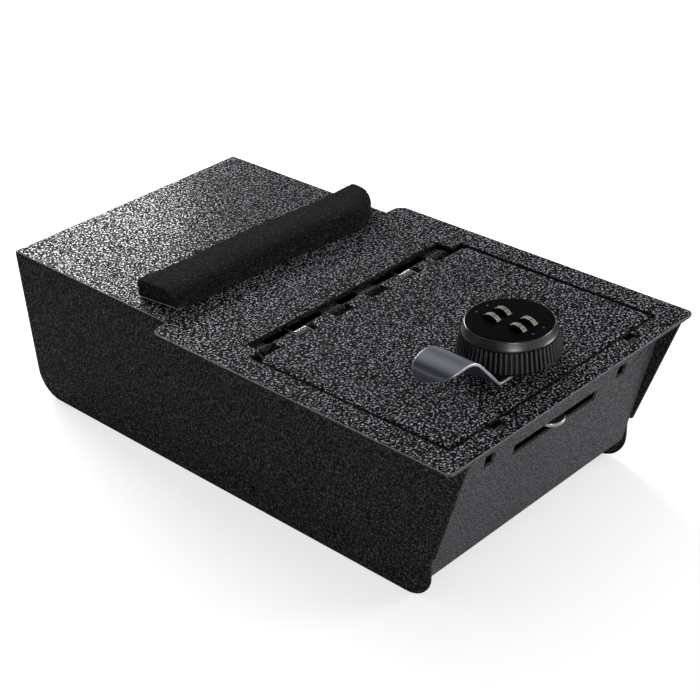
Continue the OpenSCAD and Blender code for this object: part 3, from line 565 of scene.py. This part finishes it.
# The finish of each piece that keeps its CAD shape, and the rounding of its edges in millimetres
FINISH_OF = {
    "top_plate": (COAT_TOP, 0.5),
    "left_panel": (COAT_SIDE, 0.35), "right_panel": (COAT_SIDE, 0.35),
    "front_wall": (COAT_FRONT_LIT, 0.3), "floor_plate": (COAT_INSIDE_SHADED, 0.3),
    "back_wall": (COAT_SIDE, 0.3),
    "left_ledge": (COAT_INSIDE_SHADED, 0.25), "right_ledge": (COAT_INSIDE_SHADED, 0.25),
    "case_knuckles": (COAT_INSIDE_SHADED, 0.4), "door_panel": (COAT_TOP, 0.3),
    "door_knuckles": (COAT_INSIDE_SHADED, 0.3), "door_doubler": (COAT_INSIDE_SHADED, 0.3),
    "lock_washer": (ZINC, 0.15), "lock_nut": (ZINC, 0.3),
    "hinge_rod": (BLACKENED, 0.4), "rod_clips": (ZINC, 0.15),
    "latch": (ZINC, 0.5), "latch_screw": (ZINC, 0.3), "spindle": (ZINC, 0.2),
    "rear_axle": (ZINC, 0.2), "front_axle": (ZINC, 0.2),
    "lock_body": (NYLON, 0.3), "knob_core": (NYLON, 0.15),
}
# A face this near to a top sheet's outline is part of its edge. Behind the rim's rear the top
# plate has no edge but its outline
RIM_W = 3 * MM
RIM_REAR_Y = 0.0
# How much a face looks up where the sheet's rounded rim starts, where its level top starts,
# and where its side starts; and how much a face looks to the front to count as a front one
RIM_UP = 0.2
LEVEL_UP = 0.98
SIDE_UP = 0.75
FRONT_TURN = -0.3


def coat_of_face(face):
    """A top sheet's cut edges are coated as smooth as the walls below, the front ones in the front
    wall's paler copy, which is painted light; its rounded rim takes a paler copy as a painted
    highlight.
    """
    place, turn = face.center, face.normal
    near_front = place.y < cad_low[1] + RIM_W
    at_rim = near_front or place.y > RIM_REAR_Y or abs(place.x) > cad_high[0] - RIM_W
    if at_rim and RIM_UP < turn.z < LEVEL_UP:
        return COAT_RIM_HIGHLIGHT
    if turn.z >= SIDE_UP:
        return COAT_TOP
    # Cut edges that face the front take the front wall's copy, painted paler as painted light
    return COAT_FRONT_LIT if near_front and turn.y < FRONT_TURN else COAT_SIDE


def make_sheets():
    """All the pieces of FINISH_OF: the sheets, and the plain parts of the hinge and the lock."""
    for node, (material, edge_mm) in FINISH_OF.items():
        piece = softened(node, material, edge_mm * MM)
        if material is COAT_TOP:
            paint_faces(piece, [COAT_TOP, COAT_FRONT_LIT, COAT_SIDE, COAT_RIM_HIGHLIGHT], coat_of_face)


# Springs

WIRE_D = 1.4 * MM
CURLS = 5
# Straight pieces that the whole wire is made of, and sides of its round section
WIRE_STEPS = 280
WIRE_SIDES = 12


def wire_spring_tree():
    """A torsion spring round the X axis, with a straight leg before and after its curls."""
    tree, spring, given, made = geometry_tree("wire_spring", {
        "Curls": 5.0, "Curl radius": 5 * MM, "Pitch": 2 * MM, "Leg": 15 * MM,
        "Wire radius": 0.7 * MM})
    line = spring.node("GeometryNodeMeshLine", {"Count": WIRE_STEPS + 1})
    index = spring.node("GeometryNodeInputIndex").outputs[0]
    share = spring.math("DIVIDE", index, float(WIRE_STEPS))
    wound = spring.math("MULTIPLY", given["Curls"], math.tau)
    wound_length = spring.math("MULTIPLY", wound, given["Curl radius"])
    whole = spring.math("ADD", wound_length, spring.math("MULTIPLY", given["Leg"], 2.0))
    along = spring.math("SUBTRACT", spring.math("MULTIPLY", share, whole), given["Leg"])
    before = spring.math("MINIMUM", along, 0.0)
    after = spring.math("MAXIMUM", spring.math("SUBTRACT", along, wound_length), 0.0)
    on_coil = spring.math("MINIMUM", spring.math("MAXIMUM", along, 0.0), wound_length)
    angle = spring.math("DIVIDE", on_coil, given["Curl radius"])
    turns = spring.math("DIVIDE", angle, math.tau)
    x = spring.math("MULTIPLY", spring.math("MULTIPLY", turns, given["Pitch"]), -1.0)
    swing = spring.math("MULTIPLY", spring.math("SINE", angle), given["Curl radius"])
    y = spring.math("ADD", swing, spring.math("ADD", before, after))
    z = spring.math("MULTIPLY", spring.math("COSINE", angle), given["Curl radius"])
    place = spring.node("ShaderNodeCombineXYZ", {"X": x, "Y": y, "Z": z}).outputs[0]
    bent = spring.node("GeometryNodeSetPosition", {"Geometry": line.outputs[0], "Position": place})
    curve = spring.node("GeometryNodeMeshToCurve", {"Mesh": bent.outputs[0]})
    ring = spring.node("GeometryNodeCurvePrimitiveCircle", {
        "Resolution": WIRE_SIDES, "Radius": given["Wire radius"]})
    tube = spring.node("GeometryNodeCurveToMesh", {
        "Curve": curve.outputs[0], "Profile Curve": ring.outputs[0], "Fill Caps": True})
    smooth = spring.node("GeometryNodeSetShadeSmooth", {"Geometry": tube.outputs[0]})
    end_tree(spring, smooth, given, made)
    return tree


def make_springs():
    tree = wire_spring_tree()
    for node in ("left_spring", "right_spring"):
        low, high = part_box(node)
        middle = (low + high) / 2
        spring = grown(node + "_wire", tree, {
            "Curls": float(CURLS), "Curl radius": (high.z - low.z - WIRE_D) / 2,
            "Pitch": (high.x - low.x - WIRE_D) / CURLS, "Leg": (high.y - low.y) / 2,
            "Wire radius": WIRE_D / 2, "Finish": WIRE})
        spring.data.transform(Matrix.Translation((high.x - WIRE_D / 2, middle.y, middle.z)))
        outward(spring.data)
        shade(spring.data, 50)

        def wire_of_face(face):
            """The rear leg, which the plate's notch shows, gets a dark copy of the wire as painted
            shade, for the shadow it lies in under the plate.
            """
            behind = face.center.y > middle.y + 0.5 * WIRE_D
            at_left = face.center.x < low.x + 1.5 * WIRE_D
            return WIRE_PAINTED_SHADE if behind and at_left else WIRE

        paint_faces(spring, [WIRE, WIRE_PAINTED_SHADE], wire_of_face)
        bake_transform(spring)
        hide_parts(node)


# Pull handle

# Sizes of the bent strip in millimetres and degrees, as in the CAD source
STRIP_T = 1.5
STRIP_W = 27.0
STRIP_TAIL = 14.0
BEND_X = 22.5
BEND_R = 3.5
SLOPE = 49.0
CREST_R = 14.0
LIP_X = 59.5
LIP_Z = 10.5
LIP_DROP = 6.5
LIP_REAR_R = 5.0
# How far the lip's front side is cut away at its end, how high over the end the cut begins,
# and how hollow its curve is
LIP_FRONT_W = 20.5
LIP_FRONT_H = 12.0
LIP_FRONT_CURVE = 1.6
# Places along each stretch of the strip: its tail, bend, crest, curl and hanging lip
STRIP_PLACES = (16, 14, 18, 24, 12)
# A face that looks so much to a side belongs to the strip's cut edge, painted near-white as a
# painted highlight
EDGE_TURN = 0.3


def arc(cx, cy, r, start, end, steps):
    """Points of an arc from one angle to another, in degrees."""
    angles = [math.radians(start + (end - start) * i / steps) for i in range(steps + 1)]
    return [(cx + r * math.cos(a), cy + r * math.sin(a)) for a in angles]


def strip_line(crest_height):
    """The strip's middle line in width and height over the door, in millimetres."""
    mid = STRIP_T / 2
    bend_z = mid + BEND_R
    crest_z = crest_height - mid - CREST_R
    lean = math.radians(SLOPE)
    rise = crest_z - bend_z + (CREST_R + BEND_R) * math.cos(lean)
    crest_x = -BEND_X - BEND_R * math.sin(lean) - rise / math.tan(lean) - CREST_R * math.sin(lean)
    lip_x = -LIP_X + mid
    on_tail, on_bend, on_crest, on_curl, on_lip = STRIP_PLACES
    flat = [(STRIP_TAIL - i * (STRIP_TAIL + BEND_X) / on_tail, mid) for i in range(on_tail)]
    bend = arc(-BEND_X, bend_z, BEND_R, 270, 270 - SLOPE, on_bend)
    crest = arc(crest_x, crest_z, CREST_R, 90 - SLOPE, 90, on_crest)
    curl = []
    for i in range(1, on_curl + 1):
        a = math.radians(90 * i / on_curl)
        curl.append((crest_x - (crest_x - lip_x) * math.sin(a),
                     crest_z + CREST_R - LIP_DROP * (1 - math.cos(a))))
    low = curl[-1][1]
    hang = [(lip_x, low + (LIP_Z - low) * i / on_lip) for i in range(1, on_lip + 1)]
    return flat + bend + crest + curl + hang


def corner_loss(distance, radius):
    """How much narrower a strip is near its end, where a corner is rounded."""
    if distance >= radius:
        return 0.0
    return radius - math.sqrt(max(radius ** 2 - (radius - distance) ** 2, 0.0))


def strip_mesh(low, high):
    """The bent strip in its box, with its lip rounded behind and cut away in front."""
    lock_y = (low.y + high.y) / 2
    line = strip_line((high.z - low.z) / MM)
    lengths = [0.0]
    for a, b in zip(line, line[1:]):
        lengths.append(lengths[-1] + math.dist(a, b))
    top = max(range(len(line)), key=lambda i: line[i][1])
    points = []
    for i, (x, z) in enumerate(line):
        a, b = line[max(i - 1, 0)], line[min(i + 1, len(line) - 1)]
        length = math.dist(a, b)
        side = Vector((-(b[1] - a[1]) / length, (b[0] - a[0]) / length)) * STRIP_T / 2
        left = lengths[-1] - lengths[i]
        below = max(1 - (z - LIP_Z) / LIP_FRONT_H, 0.0) if i > top else 0.0
        rear = STRIP_W / 2 - corner_loss(left, LIP_REAR_R)
        front = STRIP_W / 2 - LIP_FRONT_W * below ** LIP_FRONT_CURVE
        for sign, y in ((1, rear), (1, -front), (-1, -front), (-1, rear)):
            points.append(((x + sign * side.x) * MM, lock_y + y * MM,
                           low.z + (z + sign * side.y) * MM))
    faces = []
    for i in range(len(line) - 1):
        for k in range(4):
            m = (k + 1) % 4
            faces.append((4 * i + k, 4 * i + m, 4 * i + 4 + m, 4 * i + 4 + k))
    faces += [(0, 1, 2, 3), tuple(4 * len(line) - 4 + k for k in (3, 2, 1, 0))]
    mesh = mesh_of("pull_handle_strip", points, faces)
    outward(mesh)
    shade(mesh, 40)
    return mesh


def make_handle():
    handle = add_object("pull_handle_strip", strip_mesh(*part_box("pull_handle")), CHROME_PAINTED_DARK)
    bevel(handle, 0.3 * MM, degrees=50)
    baked(handle)
    paint_faces(handle, [CHROME_PAINTED_DARK, EDGE_PAINTED_HIGHLIGHT],
                lambda face: EDGE_PAINTED_HIGHLIGHT if abs(face.normal.y) > EDGE_TURN else CHROME_PAINTED_DARK)
    finish_piece(handle, "pull_handle")


# Knob

RIBS = 62
# How far the ribs stand out of the cone between them
RIB_DEPTH = 1.2 * MM
# Half a rib's size outwards and round the grip
RIB_HALF_D = 0.75 * MM
RIB_HALF_W = 0.6 * MM
# The smooth collar over the ribs: its height, the width of its top, how much wider it is at
# its foot, and the rounding of its top edge
COLLAR_H = 5.5 * MM
COLLAR_W = 2.2 * MM
COLLAR_FLARE = 1.3 * MM
COLLAR_EDGE = 0.7 * MM
# How soon the flare ends: 1 is a straight cone
COLLAR_CURVE = 0.7
COLLAR_CHAMFER = 0.3 * MM
FOOT_CHAMFER = 0.3 * MM
# Gap between the cap and the collar
CAP_GAP = 0.1 * MM
# A face this far out of the cone belongs to a rib
RIB_OUT = 0.35 * MM
GRIP_SIDES = 3 * RIBS


def lathe(name, profile, sides, centre):
    """A closed solid of revolution about a vertical axis; the profile runs round its section."""
    points = []
    for k in range(sides):
        a = math.tau * k / sides
        points += [(centre.x + r * math.cos(a), centre.y + r * math.sin(a), z) for r, z in profile]
    n = len(profile)
    faces = []
    for k in range(sides):
        m = (k + 1) % sides
        faces += [(k * n + i, m * n + i, m * n + (i + 1) % n, k * n + (i + 1) % n)
                  for i in range(n)]
    mesh = mesh_of(name, points, faces)
    outward(mesh)
    return mesh


def ribbed_grip_tree():
    """Adds upright ribs round the grip's body, each a rounded bar that follows the cone."""
    tree, grip, given, made = geometry_tree("ribbed_grip", {
        "Ribs": 60, "Foot radius": 25 * MM, "Foot height": 0.0, "Head radius": 23 * MM,
        "Head height": 10 * MM, "Rib width": 0.6 * MM, "Rib depth": 0.75 * MM})
    foot = grip.node("ShaderNodeCombineXYZ", {"X": given["Foot radius"], "Z": given["Foot height"]})
    head = grip.node("ShaderNodeCombineXYZ", {"X": given["Head radius"], "Z": given["Head height"]})
    line = grip.node("GeometryNodeCurvePrimitiveLine", {
        "Start": foot.outputs[0], "End": head.outputs[0]})
    fine = grip.node("GeometryNodeResampleCurve", {"Curve": line.outputs[0], "Count": 7})
    # The rib swells from its two ends, so they look rounded
    share = grip.node("GeometryNodeSplineParameter").outputs["Factor"]
    from_middle = grip.math("SUBTRACT", grip.math("MULTIPLY", share, 2.0), 1.0)
    near_end = grip.math("POWER", grip.math("ABSOLUTE", from_middle), 10.0)
    taper = grip.math("MULTIPLY", near_end, 0.45)
    swell = grip.math("SUBTRACT", 1.0, taper)
    sized = grip.node("GeometryNodeSetCurveRadius", {"Curve": fine.outputs[0], "Radius": swell})
    ring = grip.node("GeometryNodeCurvePrimitiveCircle", {"Resolution": 12, "Radius": 1.0})
    scale = grip.node("ShaderNodeCombineXYZ", {
        "X": given["Rib depth"], "Y": given["Rib width"], "Z": 1.0})
    oval = grip.node("GeometryNodeTransform", {
        "Geometry": ring.outputs[0], "Scale": scale.outputs[0]})
    bar = grip.node("GeometryNodeCurveToMesh", {
        "Curve": sized.outputs[0], "Profile Curve": oval.outputs[0], "Fill Caps": True})
    # One point on the axis for each rib, and a rib on each point, turned by its share
    places = grip.node("GeometryNodeMeshCircle", {"Vertices": given["Ribs"], "Radius": 1 * MM})
    step = grip.math("DIVIDE", math.tau, given["Ribs"])
    turn = grip.math("MULTIPLY", grip.node("GeometryNodeInputIndex").outputs[0], step)
    spin = grip.node("ShaderNodeCombineXYZ", {"Z": turn})
    centre = grip.node("GeometryNodeSetPosition", {
        "Geometry": places.outputs[0], "Position": (0, 0, 0)})
    ribs = grip.node("GeometryNodeInstanceOnPoints", {
        "Points": centre.outputs[0], "Instance": bar.outputs[0], "Rotation": spin.outputs[0]})
    both = grip.node("GeometryNodeJoinGeometry", {0: ribs.outputs[0]})
    grip.feed(both.inputs[0], given["Geometry"])
    end_tree(grip, both, given, made)
    return tree


def make_grip():
    low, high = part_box("knob_grip")
    cap_low, cap_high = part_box("knob_cap")
    centre = (low + high) / 2
    foot_r = (high.x - low.x) / 2
    inner_r = (cap_high.x - cap_low.x) / 2 + CAP_GAP
    top_r = inner_r + COLLAR_W
    head_z = high.z - COLLAR_H
    head_r = top_r + COLLAR_FLARE
    cone_r = foot_r - RIB_DEPTH
    edge_z = high.z - COLLAR_EDGE
    collar_z = head_z + COLLAR_CHAMFER
    profile = [(inner_r, low.z), (cone_r - FOOT_CHAMFER, low.z), (cone_r, low.z + FOOT_CHAMFER),
               (head_r - RIB_DEPTH, head_z - 0.2 * MM), (head_r - 0.25 * MM, head_z),
               (head_r, collar_z)]
    for i in range(1, 6):
        share = i / 6
        profile.append((head_r + (top_r - head_r) * share ** COLLAR_CURVE,
                        head_z + (edge_z - head_z) * share))
    profile += arc(top_r - COLLAR_EDGE, edge_z, COLLAR_EDGE, 0, 90, 6) + [(inner_r, high.z)]
    body = lathe("knob_grip_ribbed", profile, GRIP_SIDES, centre)
    body.transform(Matrix.Translation((-centre.x, -centre.y, 0)))
    grip = grown("knob_grip_ribbed", ribbed_grip_tree(), {
        "Ribs": RIBS, "Foot radius": foot_r - RIB_HALF_D, "Foot height": low.z + 0.15 * MM,
        "Head radius": head_r - RIB_HALF_D, "Head height": head_z + 0.1 * MM,
        "Rib width": RIB_HALF_W, "Rib depth": RIB_HALF_D, "Finish": NYLON}, body)
    grip.data.transform(Matrix.Translation((centre.x, centre.y, 0)))
    lean = (cone_r - head_r + RIB_DEPTH) / (head_z - low.z)

    def black_of_face(face):
        """The top, its rounded edge, the collar, the ribs and the cone each shine their own way;
        the edge, the collar and the ribs are painted paler than the cone, as painted sheen.
        """
        place = face.center
        if face.normal.z > LEVEL_UP and place.z > high.z - 0.1 * MM:
            return CAP_BLACK
        if place.z > edge_z:
            return KNOB_EDGE_HIGHLIGHT
        if place.z > collar_z:
            return COLLAR_SHEEN_BLACK
        out = math.hypot(place.x - centre.x, place.y - centre.y)
        return RIB_SHEEN_BLACK if out > cone_r - lean * (place.z - low.z) + RIB_OUT else NYLON

    paint_faces(grip, [NYLON, CAP_BLACK, KNOB_EDGE_HIGHLIGHT, COLLAR_SHEEN_BLACK, RIB_SHEEN_BLACK], black_of_face)
    shade(grip.data, 35)
    finish_piece(grip, "knob_grip")


def make_cap():
    """The dark disc that covers the wheels, with a fine bevel round its face and its windows."""
    cap = add_object("knob_cap_disc", joined_copy("knob_cap"), CAP_BLACK)
    bevel(cap, 0.15 * MM, segments=1, harden=False)
    baked(cap)
    # The level faces stay flat, so that they reflect like one plane
    for face in cap.data.polygons:
        face.use_smooth = abs(face.normal.z) < 0.9
    finish_piece(cap, "knob_cap")


# Number wheels

DIGITS = 10
DIGIT_H = 2.7 * MM
# The type's size over the height of its digits
TYPE_SIZE = 1.38
INK_T = 0.04 * MM
# Bands that a digit is cut into, so that it bends with the wheel
DIGIT_BANDS = 9
# How deep the pale cells are let into the rim, how far they stand out of it, how far they
# stay from its sides, and their share of the way from one to the next
CELL_SUNK = 0.25 * MM
CELL_PROUD = 0.02 * MM
CELL_MARGIN = 0.3 * MM
CELL_SHARE = 0.86
CELL_BANDS = 6
# The digit on top of each wheel
FIRST_DIGIT = {"wheel_rear_left": 3, "wheel_rear_right": 7,
               "wheel_front_left": 5, "wheel_front_right": 1}


def digit_mesh(number):
    """A digit in the XY plane, a little thick, cut into bands so that it can bend."""
    curve = bpy.data.curves.new("digit", "FONT")
    curve.body = str(number)
    curve.size = TYPE_SIZE * DIGIT_H
    curve.align_x = "CENTER"
    curve.align_y = "CENTER"
    curve.extrude = INK_T
    curve.resolution_u = 3
    holder = bpy.data.objects.new("digit", curve)
    bpy.context.scene.collection.objects.link(holder)
    graph = bpy.context.evaluated_depsgraph_get()
    mesh = bpy.data.meshes.new_from_object(holder.evaluated_get(graph))
    bpy.data.objects.remove(holder)
    bent = bmesh.new()
    bent.from_mesh(mesh)
    bmesh.ops.remove_doubles(bent, verts=bent.verts, dist=0.001 * MM)
    for i in range(-(DIGIT_BANDS // 2), DIGIT_BANDS // 2 + 1):
        bmesh.ops.bisect_plane(bent, geom=bent.verts[:] + bent.edges[:] + bent.faces[:],
                               plane_co=(0, i * DIGIT_H / DIGIT_BANDS, 0), plane_no=(0, 1, 0))
    bent.to_mesh(mesh)
    bent.free()
    return mesh


def on_wheel(point, angle, centre, radius):
    """A point of a flat label, wrapped on a wheel that turns about X."""
    a = angle + point.y / radius
    r = radius + point.z
    return Vector((centre.x + point.x, centre.y - r * math.sin(a), centre.z + r * math.cos(a)))


def wheel_cells(centre, radius, half):
    """The pale cells round a wheel's rim, one for each digit, as thin curved plates."""
    points, faces = [], []
    section = ((-half, -CELL_SUNK), (half, -CELL_SUNK), (half, CELL_PROUD), (-half, CELL_PROUD))
    reach = math.pi / DIGITS * CELL_SHARE
    for k in range(DIGITS):
        start = len(points)
        for j in range(CELL_BANDS + 1):
            angle = -math.tau * k / DIGITS - reach + 2 * reach * j / CELL_BANDS
            points += [on_wheel(Vector((x, 0, z)), angle, centre, radius) for x, z in section]
        for j in range(CELL_BANDS):
            a = start + 4 * j
            faces += [(a + i, a + (i + 1) % 4, a + 4 + (i + 1) % 4, a + 4 + i) for i in range(4)]
        faces += [tuple(start + i for i in (3, 2, 1, 0)),
                  tuple(start + 4 * CELL_BANDS + i for i in range(4))]
    mesh = mesh_of("cells", points, faces)
    outward(mesh)
    shade(mesh, 30)
    return mesh


def wheel_digits(name, digits, first, centre, radius):
    """The digits round a wheel, as one mesh of thin ink."""
    points, faces = [], []
    for k in range(DIGITS):
        angle = -math.tau * k / DIGITS
        mesh = digits[(first + k) % DIGITS]
        start = len(points)
        points += [on_wheel(v.co, angle, centre, radius) for v in mesh.vertices]
        faces += [tuple(start + i for i in p.vertices) for p in mesh.polygons]
    ink = mesh_of(name, points, faces)
    outward(ink)
    shade(ink, 30)
    return ink


def make_wheels():
    digits = [digit_mesh(i) for i in range(DIGITS)]
    for node, first in FIRST_DIGIT.items():
        low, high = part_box(node)
        centre = (low + high) / 2
        radius = (high.z - low.z) / 2
        softened(node, CAP_BLACK, 0.15 * MM)
        half = (high.x - low.x) / 2 - CELL_MARGIN
        cells = add_object(node + "_cells", wheel_cells(centre, radius, half), CREAM)
        finish_piece(cells, node, stands_for_it=False)
        ink = wheel_digits(node + "_digits", digits, first, centre, radius)
        label = add_object(node + "_digits", ink, INK)
        finish_piece(label, node, stands_for_it=False)


# Distance of an index mark's middle from the lock's axis, the reach of its tip and its base
# from there, half its width, and how far the paint goes over and under the cap's face
POINTER_Y = 18.0 * MM
POINTER_TIP = 0.8 * MM
POINTER_BASE = 0.6 * MM
POINTER_HALF = 0.6 * MM
PAINT_OVER = 0.03 * MM
PAINT_UNDER = 0.1 * MM


def make_pointers():
    """The painted index marks on the cap, one beyond each number wheel."""
    low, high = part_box("knob_cap")
    lock_y = (low.y + high.y) / 2
    points, faces = [], []
    for node in FIRST_DIGIT:
        wheel_low, wheel_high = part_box(node)
        centre = (wheel_low + wheel_high) / 2
        side = 1 if centre.y > lock_y else -1
        x, y = centre.x, lock_y + side * POINTER_Y
        start = len(points)
        base_y = y + side * POINTER_BASE
        corners = [(x - POINTER_HALF, base_y), (x + POINTER_HALF, base_y),
                   (x, y - side * POINTER_TIP)]
        for z in (high.z + PAINT_OVER, high.z - PAINT_UNDER):
            points += [(*corner, z) for corner in corners]
        faces += [tuple(start + i for i in f) for f in
                  ((0, 1, 2), (3, 5, 4), (0, 3, 4, 1), (1, 4, 5, 2), (2, 5, 3, 0))]
    mesh = mesh_of("index_marks", points, faces)
    outward(mesh)
    marks = add_object("index_marks", mesh, MARK_PAINT)
    finish_piece(marks, "knob_cap", stands_for_it=False)


# Foam strip and its film

# Sizes in millimetres and angles in degrees, as in the CAD source; the place is the middle of
# the rear edge
FOAM_PLACE = (4.7, 68.5)
FOAM_L = 166.0
FOAM_W = 32.0
FOAM_H = 10.5
FOAM_TURN = -2.4
FOAM_FLAT = 14.0
FOAM_TOE = 3.0
FOAM_BACK_R = 1.5
FOAM_CUT_L = 24.0
FOAM_CUT_W = 16.0
FOAM_CUT_CURVE = 1.5
FOAM_SLANT = 3.0
# How high the strip's left front corner has come off the plate, and over what length
LIFT = 2.0
LIFT_L = 20.0
# Where the strip wanders: how far back, round which place along it and over what length
FOAM_BOWS = ((1.7, -10.0, 35.0), (-1.4, 50.0, 18.0))
# How much taller the strip is at its right end than in its middle, and less tall at its left
FOAM_SWELL = 0.06
# The rounding of its ends, and how far its section draws in there
FOAM_END_R = 1.2
FOAM_END_IN = 0.10
# Sections along the strip
FOAM_STEPS = 208
# Its cut faces: the waves and pores, each with its grain to the metre and its height
FOAM_WAVES = (35.0, 0.45)
FOAM_PORES = (900.0, 0.22)


def foam_width(to_end):
    """The strip's width at a distance from its right end, where its front corner is cut round."""
    if to_end >= FOAM_CUT_L:
        return FOAM_W
    return FOAM_W - FOAM_CUT_W * (1 - max(to_end, 0.0) / FOAM_CUT_L) ** FOAM_CUT_CURVE


def foam_lift(x, y):
    """The height of the strip's underside: the left front corner curls up."""
    return LIFT * math.exp(-(((x + FOAM_L / 2) / LIFT_L) ** 2)) * (0.3 - 0.7 * y / FOAM_W)


def foam_bow(x):
    """The strip was stuck on by hand and wanders a little to the back and the front."""
    return sum(far * math.exp(-(((x - at) / reach) ** 2)) for far, at, reach in FOAM_BOWS)


def foam_ring(width, shrink):
    """The foam's cross-section in millimetres, counted back from its rear foot."""
    flat = FOAM_FLAT * width / FOAM_W
    ring = [(0.0, z) for z in (0.0, 1.4, 2.8, 4.2, 5.6, 7.0)]
    ring += arc(-FOAM_BACK_R, FOAM_H - FOAM_BACK_R, FOAM_BACK_R, 0, 90, 5)
    ring += [(-FOAM_BACK_R - (flat - FOAM_BACK_R) * i / 12, FOAM_H) for i in range(1, 13)]
    for i in range(1, 31):
        a = math.radians(90 * i / 30)
        ring.append((-flat - (width - flat) * math.sin(a),
                     FOAM_TOE + (FOAM_H - FOAM_TOE) * math.cos(a)))
    ring += [(-width, 2.0), (-width, 1.0), (-width, 0.0)]
    ring += [(-width + width * i / 20, 0.0) for i in range(1, 20)]
    mid_y, mid_z = -width / 2, 0.4 * FOAM_H
    return [(mid_y + (y - mid_y) * shrink, mid_z + (z - mid_z) * shrink) for y, z in ring]


def foam_stations():
    """Places along the strip and the size of its section there; its ends round over and close."""
    half = FOAM_L / 2
    closing = []
    for i in range(8):
        a = math.radians(90 * i / 8)
        closing.append((half - FOAM_END_R * (1 - math.cos(a)), 1 - FOAM_END_IN * (1 - math.sin(a))))
    stations = [(-x, shrink) for x, shrink in closing]
    start, length = FOAM_END_R - half, FOAM_L - 2 * FOAM_END_R
    stations += [(start + length * i / FOAM_STEPS, 1.0) for i in range(FOAM_STEPS + 1)]
    return stations + closing[::-1]


def on_foam(x, y, z, base_z):
    """A point of the strip, from its own frame to the safe's."""
    slant = -FOAM_SLANT * y / FOAM_W * max(-x / FOAM_L * 2, 0.0) ** 8
    turn = Matrix.Rotation(math.radians(FOAM_TURN), 4, "Z")
    point = turn @ Vector((x + slant, y + foam_bow(x), 0))
    swell = 1.0 + FOAM_SWELL * x / FOAM_L * 2
    return Vector(((FOAM_PLACE[0] + point.x) * MM, (FOAM_PLACE[1] + point.y) * MM,
                   base_z + (z * swell + foam_lift(x, y)) * MM))


def strip_between_rings(rings):
    """The points and faces of a closed strip through equal rings of points, with flat ends."""
    points = [point for ring in rings for point in ring]
    n = len(rings[0])
    faces = []
    for i in range(len(rings) - 1):
        faces += [(i * n + k, i * n + (k + 1) % n, (i + 1) * n + (k + 1) % n, (i + 1) * n + k)
                  for k in range(n)]
    faces += [tuple(range(n)), tuple(len(points) - 1 - k for k in range(n))]
    return points, faces


def make_foam():
    base_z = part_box("foam_strip")[0].z
    rings = [[on_foam(x, y, z, base_z) for y, z in foam_ring(foam_width(FOAM_L / 2 - x), shrink)]
             for x, shrink in foam_stations()]
    mesh = mesh_of("foam_strip_cut", *strip_between_rings(rings))
    outward(mesh)
    for v in mesh.vertices:
        # The foot stays flat on the plate
        share = min(max((v.co.z - base_z) / MM, 0.0), 1.0)
        rough = sum(noise.noise(v.co * grain) * height
                    for grain, height in (FOAM_WAVES, FOAM_PORES))
        v.co += v.normal * rough * share * MM
    shade(mesh, 60)
    foam = add_object("foam_strip_cut", mesh, FOAM)
    finish_piece(foam, "foam_strip")


# The film in millimetres: how far it stands out from under the lifted end, over what length,
# how far it lies back in front elsewhere and behind, and its thickness
FILM_OUT = 0.1
FILM_SHOWN_L = 8.0
FILM_IN = 1.6
FILM_REAR_IN = 0.4
FILM_T = 0.2


def make_film():
    """The foam's release film, which shows under the lifted left end and is hidden elsewhere."""
    base_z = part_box("foam_liner")[0].z
    across, along = 14, 84
    points, faces = [], []
    for i in range(along + 1):
        x = -FOAM_L / 2 - FILM_OUT + (FOAM_L + 1.2 * FILM_OUT) * i / along
        hidden = 1.0 - math.exp(-(((x + FOAM_L / 2) / FILM_SHOWN_L) ** 2))
        width = foam_width(FOAM_L / 2 - x) + FILM_OUT - FILM_IN * hidden
        for j in range(across + 1):
            y = -width + (width - FILM_REAR_IN) * j / across
            points.append(on_foam(x, y, 0.12 + 0.10 * math.sin(y * 0.9 + 1.0), base_z))
    for i in range(along):
        for j in range(across):
            a = i * (across + 1) + j
            faces.append((a, a + across + 1, a + across + 2, a + 1))
    mesh = mesh_of("foam_liner_film", points, faces)
    film = add_object("foam_liner_film", mesh, FILM)
    thick = film.modifiers.new("thickness", "SOLIDIFY")
    thick.thickness = FILM_T * MM
    thick.offset = 1
    baked(film)
    shade(film.data, 40)
    finish_piece(film, "foam_liner")


set_camera()
set_world()
for lamp_name, lamp_values in LAMPS.items():
    add_lamp(lamp_name, *lamp_values)
make_floor()
make_sheets()
make_springs()
make_handle()
make_grip()
make_cap()
make_wheels()
make_pointers()
make_foam()
make_film()

bpy.context.scene.view_settings.view_transform = "Standard"
